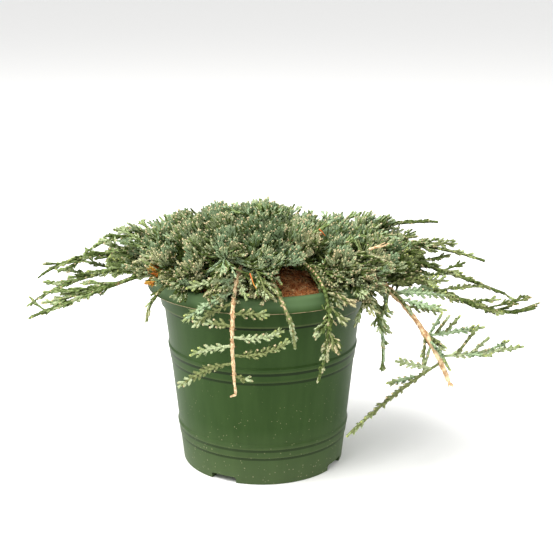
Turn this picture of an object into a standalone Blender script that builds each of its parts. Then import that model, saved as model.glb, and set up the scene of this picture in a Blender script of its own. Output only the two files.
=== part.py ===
"""Creeping juniper in a round nursery pot.

Units are metres and +Z is up. The origin is the centre of the pot's underside, and the front faces -Y.
A bearing is a direction seen from above, in degrees: 0 is the front, 90 is +X and 180 is the back.
A share is a place along a stem or a spray: 0 at its root and 1 at its tip.
"""

import random
from collections import namedtuple
from math import atan2, cos, pi, radians, sin

import bmesh
import bpy
from mathutils import Matrix, Vector
from mathutils.bvhtree import BVHTree

# Touching pieces keep this gap, foliage keeps this much air to all else, and corners this near are one
GAP = 0.0003
AIR = 0.0008
WELD = 0.000002
UP = Vector((0, 0, 1))

# The least slant of a limb that has a level direction across it, and a short stretch of a stem's share
LEAST_SLANT = 0.05
NEARBY = 0.01

# Pot: a thin moulded cone with a turned-out collar, a rounded lip and two raised bands
POT_HEIGHT = 0.164
LIP_RADIUS = 0.095
LIP_HEIGHT = 0.0115
LIP_ROUND = 0.0022
LIP_HOLLOW = 0.0030
INNER_ROUND = 0.0010
COLLAR_HEIGHT = 0.0260
COLLAR_STEP = 0.0018
COLLAR_SLANT = 0.0008
FOOT_RADIUS = 0.0679
WALL_SLOPE = 0.102
WALL = 0.0015
FLOOR = 0.0020
BAND_DEPTH = 0.0005
BANDS = ((0.0237, 0.0313), (0.0899, 0.0977))
POT_SIDES = 32

# Underside: a flat middle and a foot ring stand on the ground, with a drain channel between them
REST_RADIUS = 0.045
CHANNEL_RADIUS = 0.0600
CHANNEL_HEIGHT = 0.0060
CHANNEL_SLANT = 0.0010
FOOT_CHAMFER = 0.0008
NOTCH_WIDTH = 0.0225
NOTCH_DEPTH = 0.0140
NOTCH_HEIGHT = 0.0052
NOTCH_BEARING = -28.5
NOTCHES = 4
DRAIN_RADIUS = 0.0040
DRAIN_DEPTH = 0.0120
DRAIN_SIDES = 16

# Root ball: fills the pot and is mounded a little over the lip
BALL_EDGE = 0.1570
BALL_TOP = 0.1720
BALL_SEAT = 0.0130
BALL_SIDES = 24
BALL_STEPS = 4

# Trunk: short, flared at the soil and leaning a little to the right
TRUNK_FOOT = 0.0115
TRUNK_NECK = 0.0080
TRUNK_END = 0.0052
TRUNK_HEIGHT = 0.0280
TRUNK_FLARE = 2.5
TRUNK_LEAN = Vector((0.0025, 0.0008, 0))
TRUNK_STEPS = 6

# Limbs taper to a tip
STEM_SIDES = 4
BOUGH_SIDES = 5
TRUNK_SIDES = 12
TIP_RADIUS = 0.0008
TAPER = 0.8
BOUGH_STEPS = 3
STEM_STEPS = 5
CREST_SHARE = 0.35

# A spray is a toothed blade: larger than life, so that fewer give the outline. Its width is from midrib to
# tooth, and a spray under its full length is narrower. Its teeth swell and then shorten towards its tip,
# and each reaches forward past the root of the next. Web and rib are its core between the teeth.
SPRAY_WIDTH = 0.0125
PLACED_WIDTH = 0.0080
FULL_LENGTH = 0.036
TOOTH_STEP = 0.0115
TOOTH_REACH = 1.15
LEAST_TEETH = 2
SWELL_FIRST = 0.25
SWELL_TURN = 0.60
WEB = 0.22
ROOT_WIDTH = 0.0013
RIB = 0.0017
RIB_TAPER = 0.5

# A spray faces away from a point inside the plant, with a roll by chance, and is tried in these sizes
FACE_LEVEL = 0.110
FACE_UP = 1.4
FACE_ROLL = 0.045
SPRAY_SIZES = (1, 1, 0.85, 0.85, 0.7, 0.55)

# Along a stem a spray leaves forwards, aside and upwards, and is then drawn round to the stem's own way
AHEAD = 0.75
ASIDE = (0.6, 1.0)
RISING = (0.5, 1.2)
DRAWN = 0.5
STAGGER = 0.2
LENGTH_AT_ROOT = 1.05
LENGTH_FALL = 0.60
LENGTH_RANGE = (0.85, 1.1)
UPRIGHT = 0.7
ROUND_RANGE = (0.6, 1.1)
END_SHARE = 0.86
END_TEETH = 2
GOLDEN_ANGLE = 137.5
SEED = 20

# The crown's top: a low dome, with its height over the middle and its fall at the two half widths. Inside
# its edge it is closed: sprays reach spots spread over it, and from its shoulder on down over the pot's lip.
CROWN_TOP = 0.2175
CROWN_FALL = 0.0240
CROWN_HALF_WIDTH = 0.150
CROWN_HALF_DEPTH = 0.120
CROWN_SPRAYS = 120
CROWN_DEPTH = 0.0030
EDGE_WIDTH = 0.128
EDGE_DEPTH = 0.104
EDGE_LOW = 0.158
SHOULDER = 0.72
LAST_RISE = 1.6
LAST_DROOP = 0.6

# A spray of the crown starts from the stem that lies best for it: at a good distance, and further in
BEST_LENGTH = 0.034
LONGEST = 0.048
SHORTEST = 0.016
LEAST_OUTWARD = 0.25
INWARD_COST = 0.02
CROWN_STARTS = 12
CROWN_TRIES = 5

# The soil shows at the front between these bearings, from this share of the crown's width outwards
GAP_BEARINGS = (10, 32)
GAP_SHARE = 0.50

# A stem leaves the trunk at its level, is drawn up towards its crest, then towards its shoulder at a
# share of its reach, called its swing, and ends at its tip. Turn is its change of bearing. It is bare as
# far as its bough runs. Spread is its longest spray, and lift how strongly its sprays turn upwards. A stem
# that the rule gives no sprays ends bare.
Stem = namedtuple(
    "Stem",
    "name bearing turn reach swing level crest shoulder tip girth bare sprays spread lift",
)
STEMS = (
    Stem("crown_top", 20, 0, 0.003, 0.8, 0.2008, 0.205, 0.209, 0.2135, 0.0018, 0.20, 5, 0.050, 0.10),
    Stem("crown_front", -42, 26, 0.092, 0.8, 0.1925, 0.198, 0.199, 0.188, 0.0018, 0.24, 3, 0.046, 0.40),
    Stem("crown_front_middle", -1, -4, 0.090, 0.8, 0.186, 0.182, 0.192, 0.182, 0.0016, 0.30, 3, 0.040, 0.45),
    Stem("crown_front_left", -50, -12, 0.092, 0.8, 0.186, 0.190, 0.191, 0.182, 0.0018, 0.26, 3, 0.042, 0.45),
    Stem("crown_front_right", 36, 18, 0.088, 0.8, 0.1925, 0.193, 0.194, 0.186, 0.0018, 0.28, 3, 0.040, 0.45),
    Stem("crown_right", 74, 4, 0.094, 0.8, 0.1925, 0.195, 0.197, 0.192, 0.0018, 0.26, 3, 0.044, 0.45),
    Stem("crown_back", 166, 0, 0.084, 0.8, 0.1925, 0.194, 0.193, 0.186, 0.0018, 0.26, 2, 0.044, 0.45),
    Stem("crown_left", -134, 34, 0.094, 0.8, 0.1925, 0.194, 0.193, 0.186, 0.0018, 0.26, 2, 0.044, 0.45),
    Stem("left_low", -75, 1, 0.190, 0.71, 0.179, 0.180, 0.156, 0.1385, 0.0024, 0.40, 8, 0.044, 0.15),
    Stem("left_middle", -88, 2, 0.186, 0.75, 0.186, 0.175, 0.169, 0.1415, 0.0022, 0.42, 8, 0.040, 0.25),
    Stem("left_upper", -84, -8, 0.184, 0.75, 0.1925, 0.172, 0.192, 0.157, 0.0020, 0.36, 8, 0.044, 0.30),
    Stem("left_back", -114, 3, 0.161, 0.76, 0.179, 0.182, 0.194, 0.166, 0.0022, 0.38, 8, 0.044, 0.35),
    Stem("front_left", -45, -7, 0.114, 1.02, 0.179, 0.181, 0.181, 0.140, 0.0020, 0.42, 7, 0.034, 0.15),
    Stem("front_hanging", -14, 2, 0.1005, 1.32, 0.179, 0.188, 0.206, 0.092, 0.0024, 0.50, 0, 0.0, 0.0),
    Stem("front_short", -8, 22, 0.101, 1.36, 0.1925, 0.188, 0.188, 0.127, 0.0018, 0.50, 0, 0.0, 0.0),
    Stem("front_right", 34, -8, 0.099, 1.42, 0.179, 0.184, 0.200, 0.100, 0.0020, 0.46, 7, 0.028, 0.0),
    Stem("right_front", 44, 12, 0.114, 1.12, 0.186, 0.187, 0.197, 0.097, 0.0020, 0.46, 7, 0.032, 0.0),
    Stem("right_hanging", 68, -4, 0.163, 0.76, 0.179, 0.192, 0.174, 0.090, 0.0024, 0.54, 0, 0.0, 0.0),
    Stem("right_low", 84, -10, 0.222, 0.72, 0.186, 0.214, 0.116, 0.147, 0.0024, 0.40, 9, 0.046, 0.22),
    Stem("right_outer", 102, -16, 0.200, 0.60, 0.179, 0.186, 0.172, 0.145, 0.0022, 0.40, 8, 0.044, 0.28),
    Stem("right_middle", 112, -20, 0.186, 0.72, 0.1925, 0.180, 0.184, 0.1675, 0.0020, 0.40, 8, 0.044, 0.28),
    Stem("right_upper", 124, -20, 0.155, 0.75, 0.186, 0.178, 0.196, 0.194, 0.0020, 0.36, 8, 0.040, 0.35),
    Stem("back_right", 140, 0, 0.158, 0.72, 0.179, 0.180, 0.186, 0.160, 0.0022, 0.36, 7, 0.050, 0.35),
    Stem("back_middle", 178, 2, 0.148, 0.72, 0.179, 0.180, 0.184, 0.156, 0.0022, 0.36, 7, 0.050, 0.35),
    Stem("back_left", -148, 0, 0.156, 0.72, 0.179, 0.182, 0.184, 0.158, 0.0022, 0.36, 6, 0.050, 0.35),
)

# Sprays that show on their own, each at a share of its stem. Bearing and pitch are those of its root, and
# its tip is drawn up by rise, or down where that is negative.
Spray = namedtuple("Spray", "share bearing pitch length rise")
SPRAYS = {
    "front_hanging": (
        Spray(0.58, -84, 6, 0.034, -0.4),
        Spray(0.64, -70, -14, 0.042, -0.4),
        Spray(0.70, -100, -20, 0.034, -0.5),
        Spray(0.75, 80, 8, 0.024, -0.2),
        Spray(0.80, -100, 20, 0.018, -0.5),
        Spray(0.835, 84, -10, 0.036, 0.6),
        Spray(0.865, -98, -6, 0.029, -0.3),
        Spray(0.895, 82, -4, 0.042, 0.7),
        Spray(0.92, -100, -8, 0.045, -0.7),
        Spray(0.955, 76, -20, 0.010, 0.2),
    ),
    "front_short": (Spray(0.54, 64, -6, 0.016, -0.4), Spray(0.66, 70, -16, 0.018, -0.5)),
    "right_hanging": (
        Spray(0.66, 110, 10, 0.034, -0.2),
        Spray(0.83, 86, 8, 0.046, 0.0),
        Spray(0.86, 30, -16, 0.028, -0.6),
        Spray(0.92, 84, 6, 0.070, 0.1),
        Spray(0.94, -72, -26, 0.092, -0.3),
    ),
    "left_low": (Spray(0.60, -80, -12, 0.050, 0.0), Spray(0.93, -80, 38, 0.013, 0.3)),
    "left_upper": (Spray(0.70, -84, -18, 0.032, -0.2), Spray(0.88, -84, 0, 0.012, 0.0)),
    "right_low": (Spray(0.80, 70, 16, 0.034, 0.1), Spray(0.92, 78, 24, 0.016, 0.0)),
    "right_middle": (Spray(0.62, 84, 4, 0.040, -0.1),),
}


def bezier(t, first, second, third, last):
    u = 1 - t
    return first * u**3 + 3 * second * u * u * t + 3 * third * u * t * t + last * t**3


def heading(bearing, pitch=0.0):
    """The direction of a bearing and of a pitch above the level."""
    b, p = radians(bearing), radians(pitch)
    return Vector((sin(b) * cos(p), -cos(b) * cos(p), sin(p)))


def soil_height(radius):
    """The root ball's top at a distance from the axis."""
    across = max(radius - BALL_SEAT, 0) / (wall_radius(BALL_EDGE) - BALL_SEAT)
    return BALL_TOP - (BALL_TOP - BALL_EDGE) * min(across, 1) ** 2


def wall_radius(height):
    """The pot's outer radius below its collar."""
    return FOOT_RADIUS + WALL_SLOPE * height


def trunk_at(height):
    """The trunk's centre and radius at a height."""
    share = (height - BALL_TOP) / TRUNK_HEIGHT
    flare = (TRUNK_FOOT - TRUNK_NECK) * max(1 - TRUNK_FLARE * share, 0) ** 2
    radius = TRUNK_NECK + (TRUNK_END - TRUNK_NECK) * share**2 + flare
    return Vector((0, 0, height)) + TRUNK_LEAN * share**2, radius


def root_distance(stem):
    """Where a bough starts, out from the trunk's middle, so that its cut end just clears the bark."""
    if stem.level > BALL_TOP + TRUNK_HEIGHT:
        return 0
    pitch = atan2(stem.crest - stem.level, CREST_SHARE * stem.reach - TRUNK_NECK)
    rise, lean = stem.girth * cos(pitch), stem.girth * sin(pitch)
    return GAP + max(trunk_at(stem.level + rise * side)[1] + lean * side for side in (-1, 0, 1))


def stem_point(stem, share):
    """A point of the stem's centre line."""
    centre = trunk_at(stem.level)[0]
    crest, swing = CREST_SHARE * stem.reach, stem.swing * stem.reach
    out = bezier(share, root_distance(stem), crest, swing, stem.reach)
    height = bezier(share, stem.level, stem.crest, stem.shoulder, stem.tip)
    point = heading(stem.bearing + stem.turn * share) * out
    return Vector((point.x + centre.x * (1 - share), point.y + centre.y * (1 - share), height))


def stem_radius(stem, share):
    return stem.girth + (TIP_RADIUS - stem.girth) * share**TAPER


def stem_line(stem, first, last, steps):
    """Points and radii of a stretch of a stem."""
    shares = [first + (last - first) * i / steps for i in range(steps + 1)]
    return [stem_point(stem, s) for s in shares], [stem_radius(stem, s) for s in shares]


def shoot(start, way, pull, length, steps):
    """Points of a shoot that sets out along way and is drawn round towards pull."""
    points = [start.copy()]
    for i in range(steps):
        step = (way + pull * ((i + 0.5) / steps)).normalized()
        points.append(points[-1] + step * (length / steps))
    return points


def beside(along):
    """A level direction across a limb, or +X where the limb stands upright."""
    across = along.cross(UP)
    return across.normalized() if across.length > LEAST_SLANT else Vector((1, 0, 0))


def teeth_on(length):
    """The pairs of teeth on a spray."""
    return max(round(length / TOOTH_STEP) - 1, LEAST_TEETH)


def spray_line(start, way, pull, length):
    """The midrib of a spray, with a point at the root of each pair of teeth and one at its tip."""
    return shoot(start, way, pull, length, teeth_on(length) + 1)


def placed_sprays(stem):
    """Midrib and width of the sprays that show on their own."""
    for spray in SPRAYS.get(stem.name, ()):
        way = heading(spray.bearing, spray.pitch)
        line = spray_line(stem_point(stem, spray.share), way, UP * spray.rise, spray.length)
        yield line, PLACED_WIDTH * min(spray.length / FULL_LENGTH, 1)


def ruled_sprays(stem, chance):
    """Sprays to the left and right in turn, longest near the stem's root, or round an upright stem."""
    for i in range(stem.sprays):
        part = (i + 0.5 + chance.uniform(-STAGGER, STAGGER)) / stem.sprays
        share = stem.bare + (END_SHARE - stem.bare) * part
        along = (stem_point(stem, share + NEARBY) - stem_point(stem, share - NEARBY)).normalized()
        across = beside(along) * (1 if i % 2 else -1)
        rise = UP * stem.lift
        way = along * AHEAD + across * chance.uniform(*ASIDE) + rise * chance.uniform(*RISING)
        length = stem.spread * (LENGTH_AT_ROOT - LENGTH_FALL * part) * chance.uniform(*LENGTH_RANGE)
        if along.z > UPRIGHT:
            way, length = heading(GOLDEN_ANGLE * i) + rise, stem.spread * chance.uniform(*ROUND_RANGE)
        line = spray_line(stem_point(stem, share), way.normalized(), along * DRAWN + rise, length)
        yield line, SPRAY_WIDTH * min(length / FULL_LENGTH, 1)


def end_spray(stem):
    """The spray that ends a stem, along the stem's own last stretch."""
    shares = [END_SHARE + (1 - END_SHARE) * i / (END_TEETH + 1) for i in range(END_TEETH + 2)]
    line = [stem_point(stem, share) for share in shares]
    return line, SPRAY_WIDTH * min((line[-1] - line[0]).length / FULL_LENGTH, 1)


def crown_spots():
    """Spots spread evenly over the crown's surface, but for where the soil shows."""
    for i in range(CROWN_SPRAYS):
        share = ((i + 0.5) / CROWN_SPRAYS) ** 0.5
        bearing = GOLDEN_ANGLE * i % 360
        if share > GAP_SHARE and GAP_BEARINGS[0] < bearing < GAP_BEARINGS[1]:
            continue
        side = heading(bearing)
        spot = Vector((side.x * EDGE_WIDTH, side.y * EDGE_DEPTH, 0)) * share
        top = crown_height(spot) - CROWN_DEPTH
        fall = max(share - SHOULDER, 0) / (1 - SHOULDER)
        spot.z = top - (top - EDGE_LOW) * fall**2
        yield spot


def spray_to(start, spot):
    """Midrib and width of a spray that reaches a spot, and there points outwards, and upwards or down."""
    run = spot - start
    outward = Vector((spot.x / EDGE_WIDTH, spot.y / EDGE_DEPTH, 0))
    high = (spot.z - EDGE_LOW) / (CROWN_TOP - EDGE_LOW)
    last = (outward + UP * (LAST_RISE * high - LAST_DROOP)).normalized() + run.normalized()
    bend = spot - last.normalized() * (run.length / 2)
    steps = teeth_on(run.length) + 1
    line = [bezier(i / steps, start, bend, bend, spot) for i in range(steps + 1)]
    return line, SPRAY_WIDTH * min(run.length / FULL_LENGTH, 1)


def crown_starts():
    """Where a spray of the crown may start: places along each leafy stem."""
    for stem in STEMS:
        for i in range(CROWN_STARTS if stem.sprays else 0):
            yield stem, stem_point(stem, stem.bare + (END_SHARE - stem.bare) * (i + 0.5) / CROWN_STARTS)


def best_starts(spot, starts):
    """The place on each stem that lies best for a spray to a spot, best stem first."""
    outward = Vector((spot.x, spot.y, 0)).normalized()
    found = {}
    for stem, start in starts:
        run = spot - start
        if SHORTEST < run.length < LONGEST:
            inward = max(LEAST_OUTWARD - run.dot(outward) / run.length, 0)
            cost = abs(run.length - BEST_LENGTH) + INWARD_COST * inward
            if stem not in found or cost < found[stem][0]:
                found[stem] = cost, start
    ranked = sorted(found, key=lambda stem: found[stem][0])
    return [(stem, found[stem][1]) for stem in ranked[:CROWN_TRIES]]


def facing(point, chance):
    """The way a spray's upper side faces: up in the crown's middle, outwards at its edge and below it."""
    roll = heading(chance.uniform(0, 360)) * FACE_ROLL
    up = max(point.z - FACE_LEVEL, 0) * FACE_UP
    return (Vector((point.x, point.y, up)) + roll).normalized()


def crown_height(point):
    """The crown's top above a point."""
    across = (point.x / CROWN_HALF_WIDTH) ** 2 + (point.y / CROWN_HALF_DEPTH) ** 2
    return CROWN_TOP - CROWN_FALL * across


def clear(line, width, face, taken):
    """Whether a spray stays under the crown's top and clear of what is taken, with air all round it."""
    for lift in (-AIR, 0, AIR):
        grown = blade([point + face * lift for point in line], width + AIR, face)
        low = all(corner.co.z < crown_height(corner.co) for corner in grown.verts)
        tree = BVHTree.FromBMesh(grown)
        grown.free()
        if not low or any(tree.overlap(other) for other in taken):
            return False
    return True


def material(name, colour, roughness):
    """A plain surface of one colour, given as red, green and blue shares."""
    made = bpy.data.materials.new(name)
    made.use_nodes = True
    shader = made.node_tree.nodes["Principled BSDF"]
    shader.inputs["Base Color"].default_value = (*colour, 1)
    shader.inputs["Roughness"].default_value = roughness
    shader.inputs["Metallic"].default_value = 0
    return made


def collection(name, hidden=False):
    made = bpy.data.collections.new(name)
    bpy.context.scene.collection.children.link(made)
    made.hide_render = hidden
    return made


def add(name, mesh, home, surface=None):
    """A new object of a mesh, in a collection."""
    made = bpy.data.objects.new(name, mesh)
    home.objects.link(made)
    if surface:
        mesh.materials.clear()
        mesh.materials.append(surface)
    return made


def turned(name, profile, sides, home, surface):
    """A solid turned round the axis from points of (radius, height)."""
    mesh = bpy.data.meshes.new(name)
    points = [(radius, 0, height) for radius, height in profile]
    mesh.from_pydata(points, [(i, i + 1) for i in range(len(points) - 1)], [])
    made = add(name, mesh, home, surface)
    screw = made.modifiers.new("Turn", "SCREW")
    screw.steps = screw.render_steps = sides
    screw.use_merge_vertices = True
    screw.merge_threshold = WELD
    return made


def evaluated_mesh(made):
    """The object's shape with its modifiers applied."""
    graph = bpy.context.evaluated_depsgraph_get()
    return bpy.data.meshes.new_from_object(made.evaluated_get(graph))


def mesh_of(shape, name):
    """The mesh of a shape that is done with."""
    mesh = bpy.data.meshes.new(name)
    shape.to_mesh(mesh)
    shape.free()
    return mesh


def surface_tree(made):
    """The object's surface, to test others against."""
    return BVHTree.FromObject(made, bpy.context.evaluated_depsgraph_get())


def settle(made):
    """Puts the object's modifiers into its mesh."""
    bpy.context.view_layer.update()
    mesh = evaluated_mesh(made)
    made.modifiers.clear()
    old, made.data = made.data, mesh
    bpy.data.meshes.remove(old)


def section(sides):
    """A round outline with few corners, used as the section of a limb."""
    curve = bpy.data.curves.new("section", "CURVE")
    spline = curve.splines.new("POLY")
    spline.points.add(sides - 1)
    for i, point in enumerate(spline.points):
        point.co = (cos(2 * pi * i / sides), sin(2 * pi * i / sides), 0, 1)
    spline.use_cyclic_u = True
    return bpy.data.objects.new("section", curve)


def limb(name, points, radii, sides, home, surface):
    """A tapering tube along points, with closed ends."""
    outline = section(sides)
    curve = bpy.data.curves.new(name, "CURVE")
    curve.dimensions = "3D"
    curve.bevel_mode = "OBJECT"
    curve.bevel_object = outline
    curve.use_fill_caps = True
    spline = curve.splines.new("POLY")
    spline.points.add(len(points) - 1)
    for point, place, radius in zip(spline.points, points, radii):
        point.co = (*place, 1)
        point.radius = radius
    guide = bpy.data.objects.new(name, curve)
    home.objects.link(guide)
    bpy.context.view_layer.update()
    mesh = evaluated_mesh(guide)
    bpy.data.objects.remove(guide)
    bpy.data.curves.remove(curve)
    bpy.data.curves.remove(outline.data)
    shape = bmesh.new()
    shape.from_mesh(mesh)
    bmesh.ops.remove_doubles(shape, verts=shape.verts, dist=WELD)
    bmesh.ops.recalc_face_normals(shape, faces=shape.faces)
    shape.to_mesh(mesh)
    shape.free()
    return add(name, mesh, home, surface)


def blade(line, width, face):
    """A toothed blade along a midrib, with pairs of teeth that slant towards its tip."""
    shape = bmesh.new()
    ribs, webs, teeth = [], [], []
    side = (line[-1] - line[0]).cross(face).normalized()
    for i, point in enumerate(line[:-1]):
        share = i / (len(line) - 1)
        along = line[i + 1] - point
        top = side.cross(along).normalized()
        reach = width * sin(pi * (SWELL_FIRST + SWELL_TURN * share))
        web = WEB * reach if i else ROOT_WIDTH
        ribs.append(shape.verts.new(point + top * RIB * (1 - RIB_TAPER * share)))
        webs.append([shape.verts.new(point + side * web * sign) for sign in (-1, 1)])
        if i < len(line) - 2:
            forward = point + along * TOOTH_REACH
            teeth.append([shape.verts.new(forward + side * reach * sign) for sign in (-1, 1)])
    tip = shape.verts.new(line[-1])
    shape.faces.new((*webs[0], ribs[0]))
    for i, pair in enumerate(teeth):
        low, high = ribs[i : i + 2]
        shape.faces.new((*webs[i], *reversed(webs[i + 1])))
        for root, tooth, ahead in zip(webs[i], pair, webs[i + 1]):
            shape.faces.new((root, tooth, low))
            shape.faces.new((tooth, ahead, low))
            shape.faces.new((ahead, high, low))
            shape.faces.new((root, ahead, tooth))
    shape.faces.new((*webs[-1], tip))
    for root in webs[-1]:
        shape.faces.new((root, tip, ribs[-1]))
    bmesh.ops.triangulate(shape, faces=shape.faces)
    bmesh.ops.recalc_face_normals(shape, faces=shape.faces)
    if shape.calc_volume(signed=True) < 0:
        bmesh.ops.reverse_faces(shape, faces=shape.faces)
    return shape


def largest_body(mesh):
    """Keeps the biggest closed body, which drops loose scraps and fills sealed hollows."""
    shape = bmesh.new()
    shape.from_mesh(mesh)
    bmesh.ops.triangulate(shape, faces=shape.faces)
    left, bodies = set(shape.faces), []
    while left:
        found, edge = set(), [left.pop()]
        while edge:
            face = edge.pop()
            found.add(face)
            near = {f for e in face.edges for f in e.link_faces} & left
            left -= near
            edge.extend(near)
        bodies.append(found)
    bodies.sort(key=len)
    bmesh.ops.delete(shape, geom=[f for body in bodies[:-1] for f in body], context="FACES")
    shape.to_mesh(mesh)
    shape.free()


def fuse(made, pieces):
    """Joins a mass's stem with its sprays into one body."""
    join = made.modifiers.new("Fuse", "BOOLEAN")
    join.operation = "UNION"
    join.operand_type = "COLLECTION"
    join.collection = pieces
    join.solver = "EXACT"
    settle(made)
    for piece in list(pieces.objects):
        bpy.data.meshes.remove(piece.data)
    bpy.data.collections.remove(pieces)
    largest_body(made.data)


def pot_profile():
    """The pot's outline: from the inside floor up the wall, over the lip and down the outside."""
    collar_low = POT_HEIGHT - COLLAR_HEIGHT
    lip_low = POT_HEIGHT - LIP_HEIGHT
    collar_radius = wall_radius(collar_low) + COLLAR_STEP
    neck_radius = collar_radius + WALL_SLOPE * (lip_low - collar_low)
    floor = CHANNEL_HEIGHT + FLOOR
    inside = [
        (0, floor),
        (wall_radius(floor) - WALL, floor),
        (wall_radius(collar_low) - WALL, collar_low),
        (neck_radius - WALL, lip_low),
        (neck_radius - WALL + INNER_ROUND, POT_HEIGHT - INNER_ROUND),
        (neck_radius + INNER_ROUND, POT_HEIGHT),
    ]
    turns = [radians(90 - 30 * i) for i in range(4)]
    lip = [
        (LIP_RADIUS - LIP_ROUND + LIP_ROUND * cos(a), POT_HEIGHT - LIP_ROUND + LIP_ROUND * sin(a))
        for a in turns
    ]
    outside = [
        (LIP_RADIUS, lip_low),
        (LIP_RADIUS - WALL, lip_low),
        (LIP_RADIUS - WALL, lip_low + LIP_HOLLOW),
        (neck_radius, lip_low + LIP_HOLLOW),
        (collar_radius, collar_low),
        (wall_radius(collar_low), collar_low - COLLAR_SLANT),
    ]
    for low, high in reversed(BANDS):
        outside += [
            (wall_radius(high), high + BAND_DEPTH),
            (wall_radius(high) + BAND_DEPTH, high),
            (wall_radius(low) + BAND_DEPTH, low),
            (wall_radius(low), low - BAND_DEPTH),
        ]
    foot = [
        (FOOT_RADIUS, FOOT_CHAMFER),
        (FOOT_RADIUS - FOOT_CHAMFER, 0),
        (CHANNEL_RADIUS, 0),
        (CHANNEL_RADIUS - CHANNEL_SLANT, CHANNEL_HEIGHT),
        (REST_RADIUS + CHANNEL_SLANT, CHANNEL_HEIGHT),
        (REST_RADIUS, 0),
        (0, 0),
    ]
    return inside + lip + outside + foot


def place_cutter(shape, bearing, radius, home):
    """Turns a cutter to its bearing, sets it out from the axis and leaves it out of the part."""
    turn = Matrix.Rotation(radians(bearing), 4, "Z")
    move = Matrix.Translation(heading(bearing) * radius)
    bmesh.ops.transform(shape, matrix=move @ turn, verts=shape.verts)
    cutter = add("drain_cutter", mesh_of(shape, "drain_cutter"), home)
    cutter.display_type = "WIRE"
    cutter.hide_render = True


def drain_cutters(home):
    """A notch through the foot ring and a hole in the channel at each drain."""
    for i in range(NOTCHES):
        bearing = NOTCH_BEARING + 360 * i / NOTCHES
        notch = bmesh.new()
        size = Matrix.Diagonal((NOTCH_WIDTH, NOTCH_DEPTH, 2 * NOTCH_HEIGHT, 1))
        bmesh.ops.create_cube(notch, size=1, matrix=size)
        place_cutter(notch, bearing, (CHANNEL_RADIUS + FOOT_RADIUS) / 2, home)
        hole = bmesh.new()
        round_hole = {"radius1": DRAIN_RADIUS, "radius2": DRAIN_RADIUS, "depth": 2 * DRAIN_DEPTH}
        bmesh.ops.create_cone(hole, cap_ends=True, segments=DRAIN_SIDES, **round_hole)
        place_cutter(hole, bearing, (REST_RADIUS + CHANNEL_RADIUS) / 2, home)


def build_pot(home, cutters, surface):
    pot = turned("pot", pot_profile(), POT_SIDES, home, surface)
    drain_cutters(cutters)
    cut = pot.modifiers.new("Drains", "BOOLEAN")
    cut.operation = "DIFFERENCE"
    cut.operand_type = "COLLECTION"
    cut.collection = cutters
    cut.solver = "EXACT"
    return pot


def build_root_ball(home, surface):
    floor = CHANNEL_HEIGHT + FLOOR + GAP
    inner = WALL + GAP
    edge = wall_radius(BALL_EDGE) - inner
    outs = [edge + (BALL_SEAT - edge) * i / BALL_STEPS for i in range(BALL_STEPS + 1)]
    profile = [(0, BALL_TOP)] + [(out, soil_height(out)) for out in reversed(outs)]
    profile += [(wall_radius(floor) - inner, floor), (0, floor)]
    return turned("root_ball", profile, BALL_SIDES, home, surface)


def build_trunk(home, surface):
    heights = [BALL_TOP + GAP + (TRUNK_HEIGHT - GAP) * i / TRUNK_STEPS for i in range(TRUNK_STEPS + 1)]
    points, radii = zip(*(trunk_at(h) for h in heights))
    return limb("trunk", points, radii, TRUNK_SIDES, home, surface)


def build_bough(stem, home, surface):
    points, radii = stem_line(stem, 0, stem.bare, BOUGH_STEPS)
    return limb("bough_" + stem.name, points, radii, BOUGH_SIDES, home, surface)


def build_mass_stem(stem, home, surface):
    """The stem that a mass grows from. It starts a gap beyond its bough's end."""
    points, radii = stem_line(stem, stem.bare, END_SHARE if stem.sprays else 1, STEM_STEPS)
    bough = stem_line(stem, 0, stem.bare, BOUGH_STEPS)[0]
    along = (points[1] - points[0]).normalized()
    tilt = along.cross((bough[-1] - bough[-2]).normalized()).length
    points[0] = points[0] + along * (GAP + tilt * radii[0])
    return limb("foliage_" + stem.name, points, radii, STEM_SIDES, home, surface)


class Growth:
    """The masses as they grow, and the surfaces that are taken so far."""

    def __init__(self, room):
        self.room = room
        self.fixed = len(room)
        self.pieces = {stem: collection("pieces") for stem in STEMS}
        self.chances = {stem: random.Random(f"{SEED} {stem.name}") for stem in STEMS}

    def add_spray(self, stem, line, width):
        """Tries a spray whole and then shorter, each with its own roll, and keeps the first that fits."""
        owner = "foliage_" + stem.name
        others = [tree for name, tree in self.room if name != owner]
        own = [tree for name, tree in self.room[self.fixed :] if name == owner]
        for part in SPRAY_SIZES:
            shorter = [line[0].lerp(point, part) for point in line]
            face = facing(line[-1], self.chances[stem])
            if clear(shorter, width * part, face, others) and clear(shorter[1:], width * part, face, own):
                shape = blade(shorter, width * part, face)
                self.room.append((owner, BVHTree.FromBMesh(shape)))
                add("spray", mesh_of(shape, "spray"), self.pieces[stem])
                return True
        return False


def grow(room):
    """All the sprays: those that end stems or show on their own, the crown's, and those along stems."""
    growth = Growth(room)
    for stem in STEMS:
        if stem.sprays:
            growth.add_spray(stem, *end_spray(stem))
    for stem in STEMS:
        for line, width in placed_sprays(stem):
            growth.add_spray(stem, line, width)
    starts = list(crown_starts())
    for spot in crown_spots():
        for stem, start in best_starts(spot, starts):
            if growth.add_spray(stem, *spray_to(start, spot)):
                starts.remove((stem, start))
                break
    for stem in STEMS:
        for line, width in ruled_sprays(stem, growth.chances[stem]):
            growth.add_spray(stem, line, width)
    return growth.pieces


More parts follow.
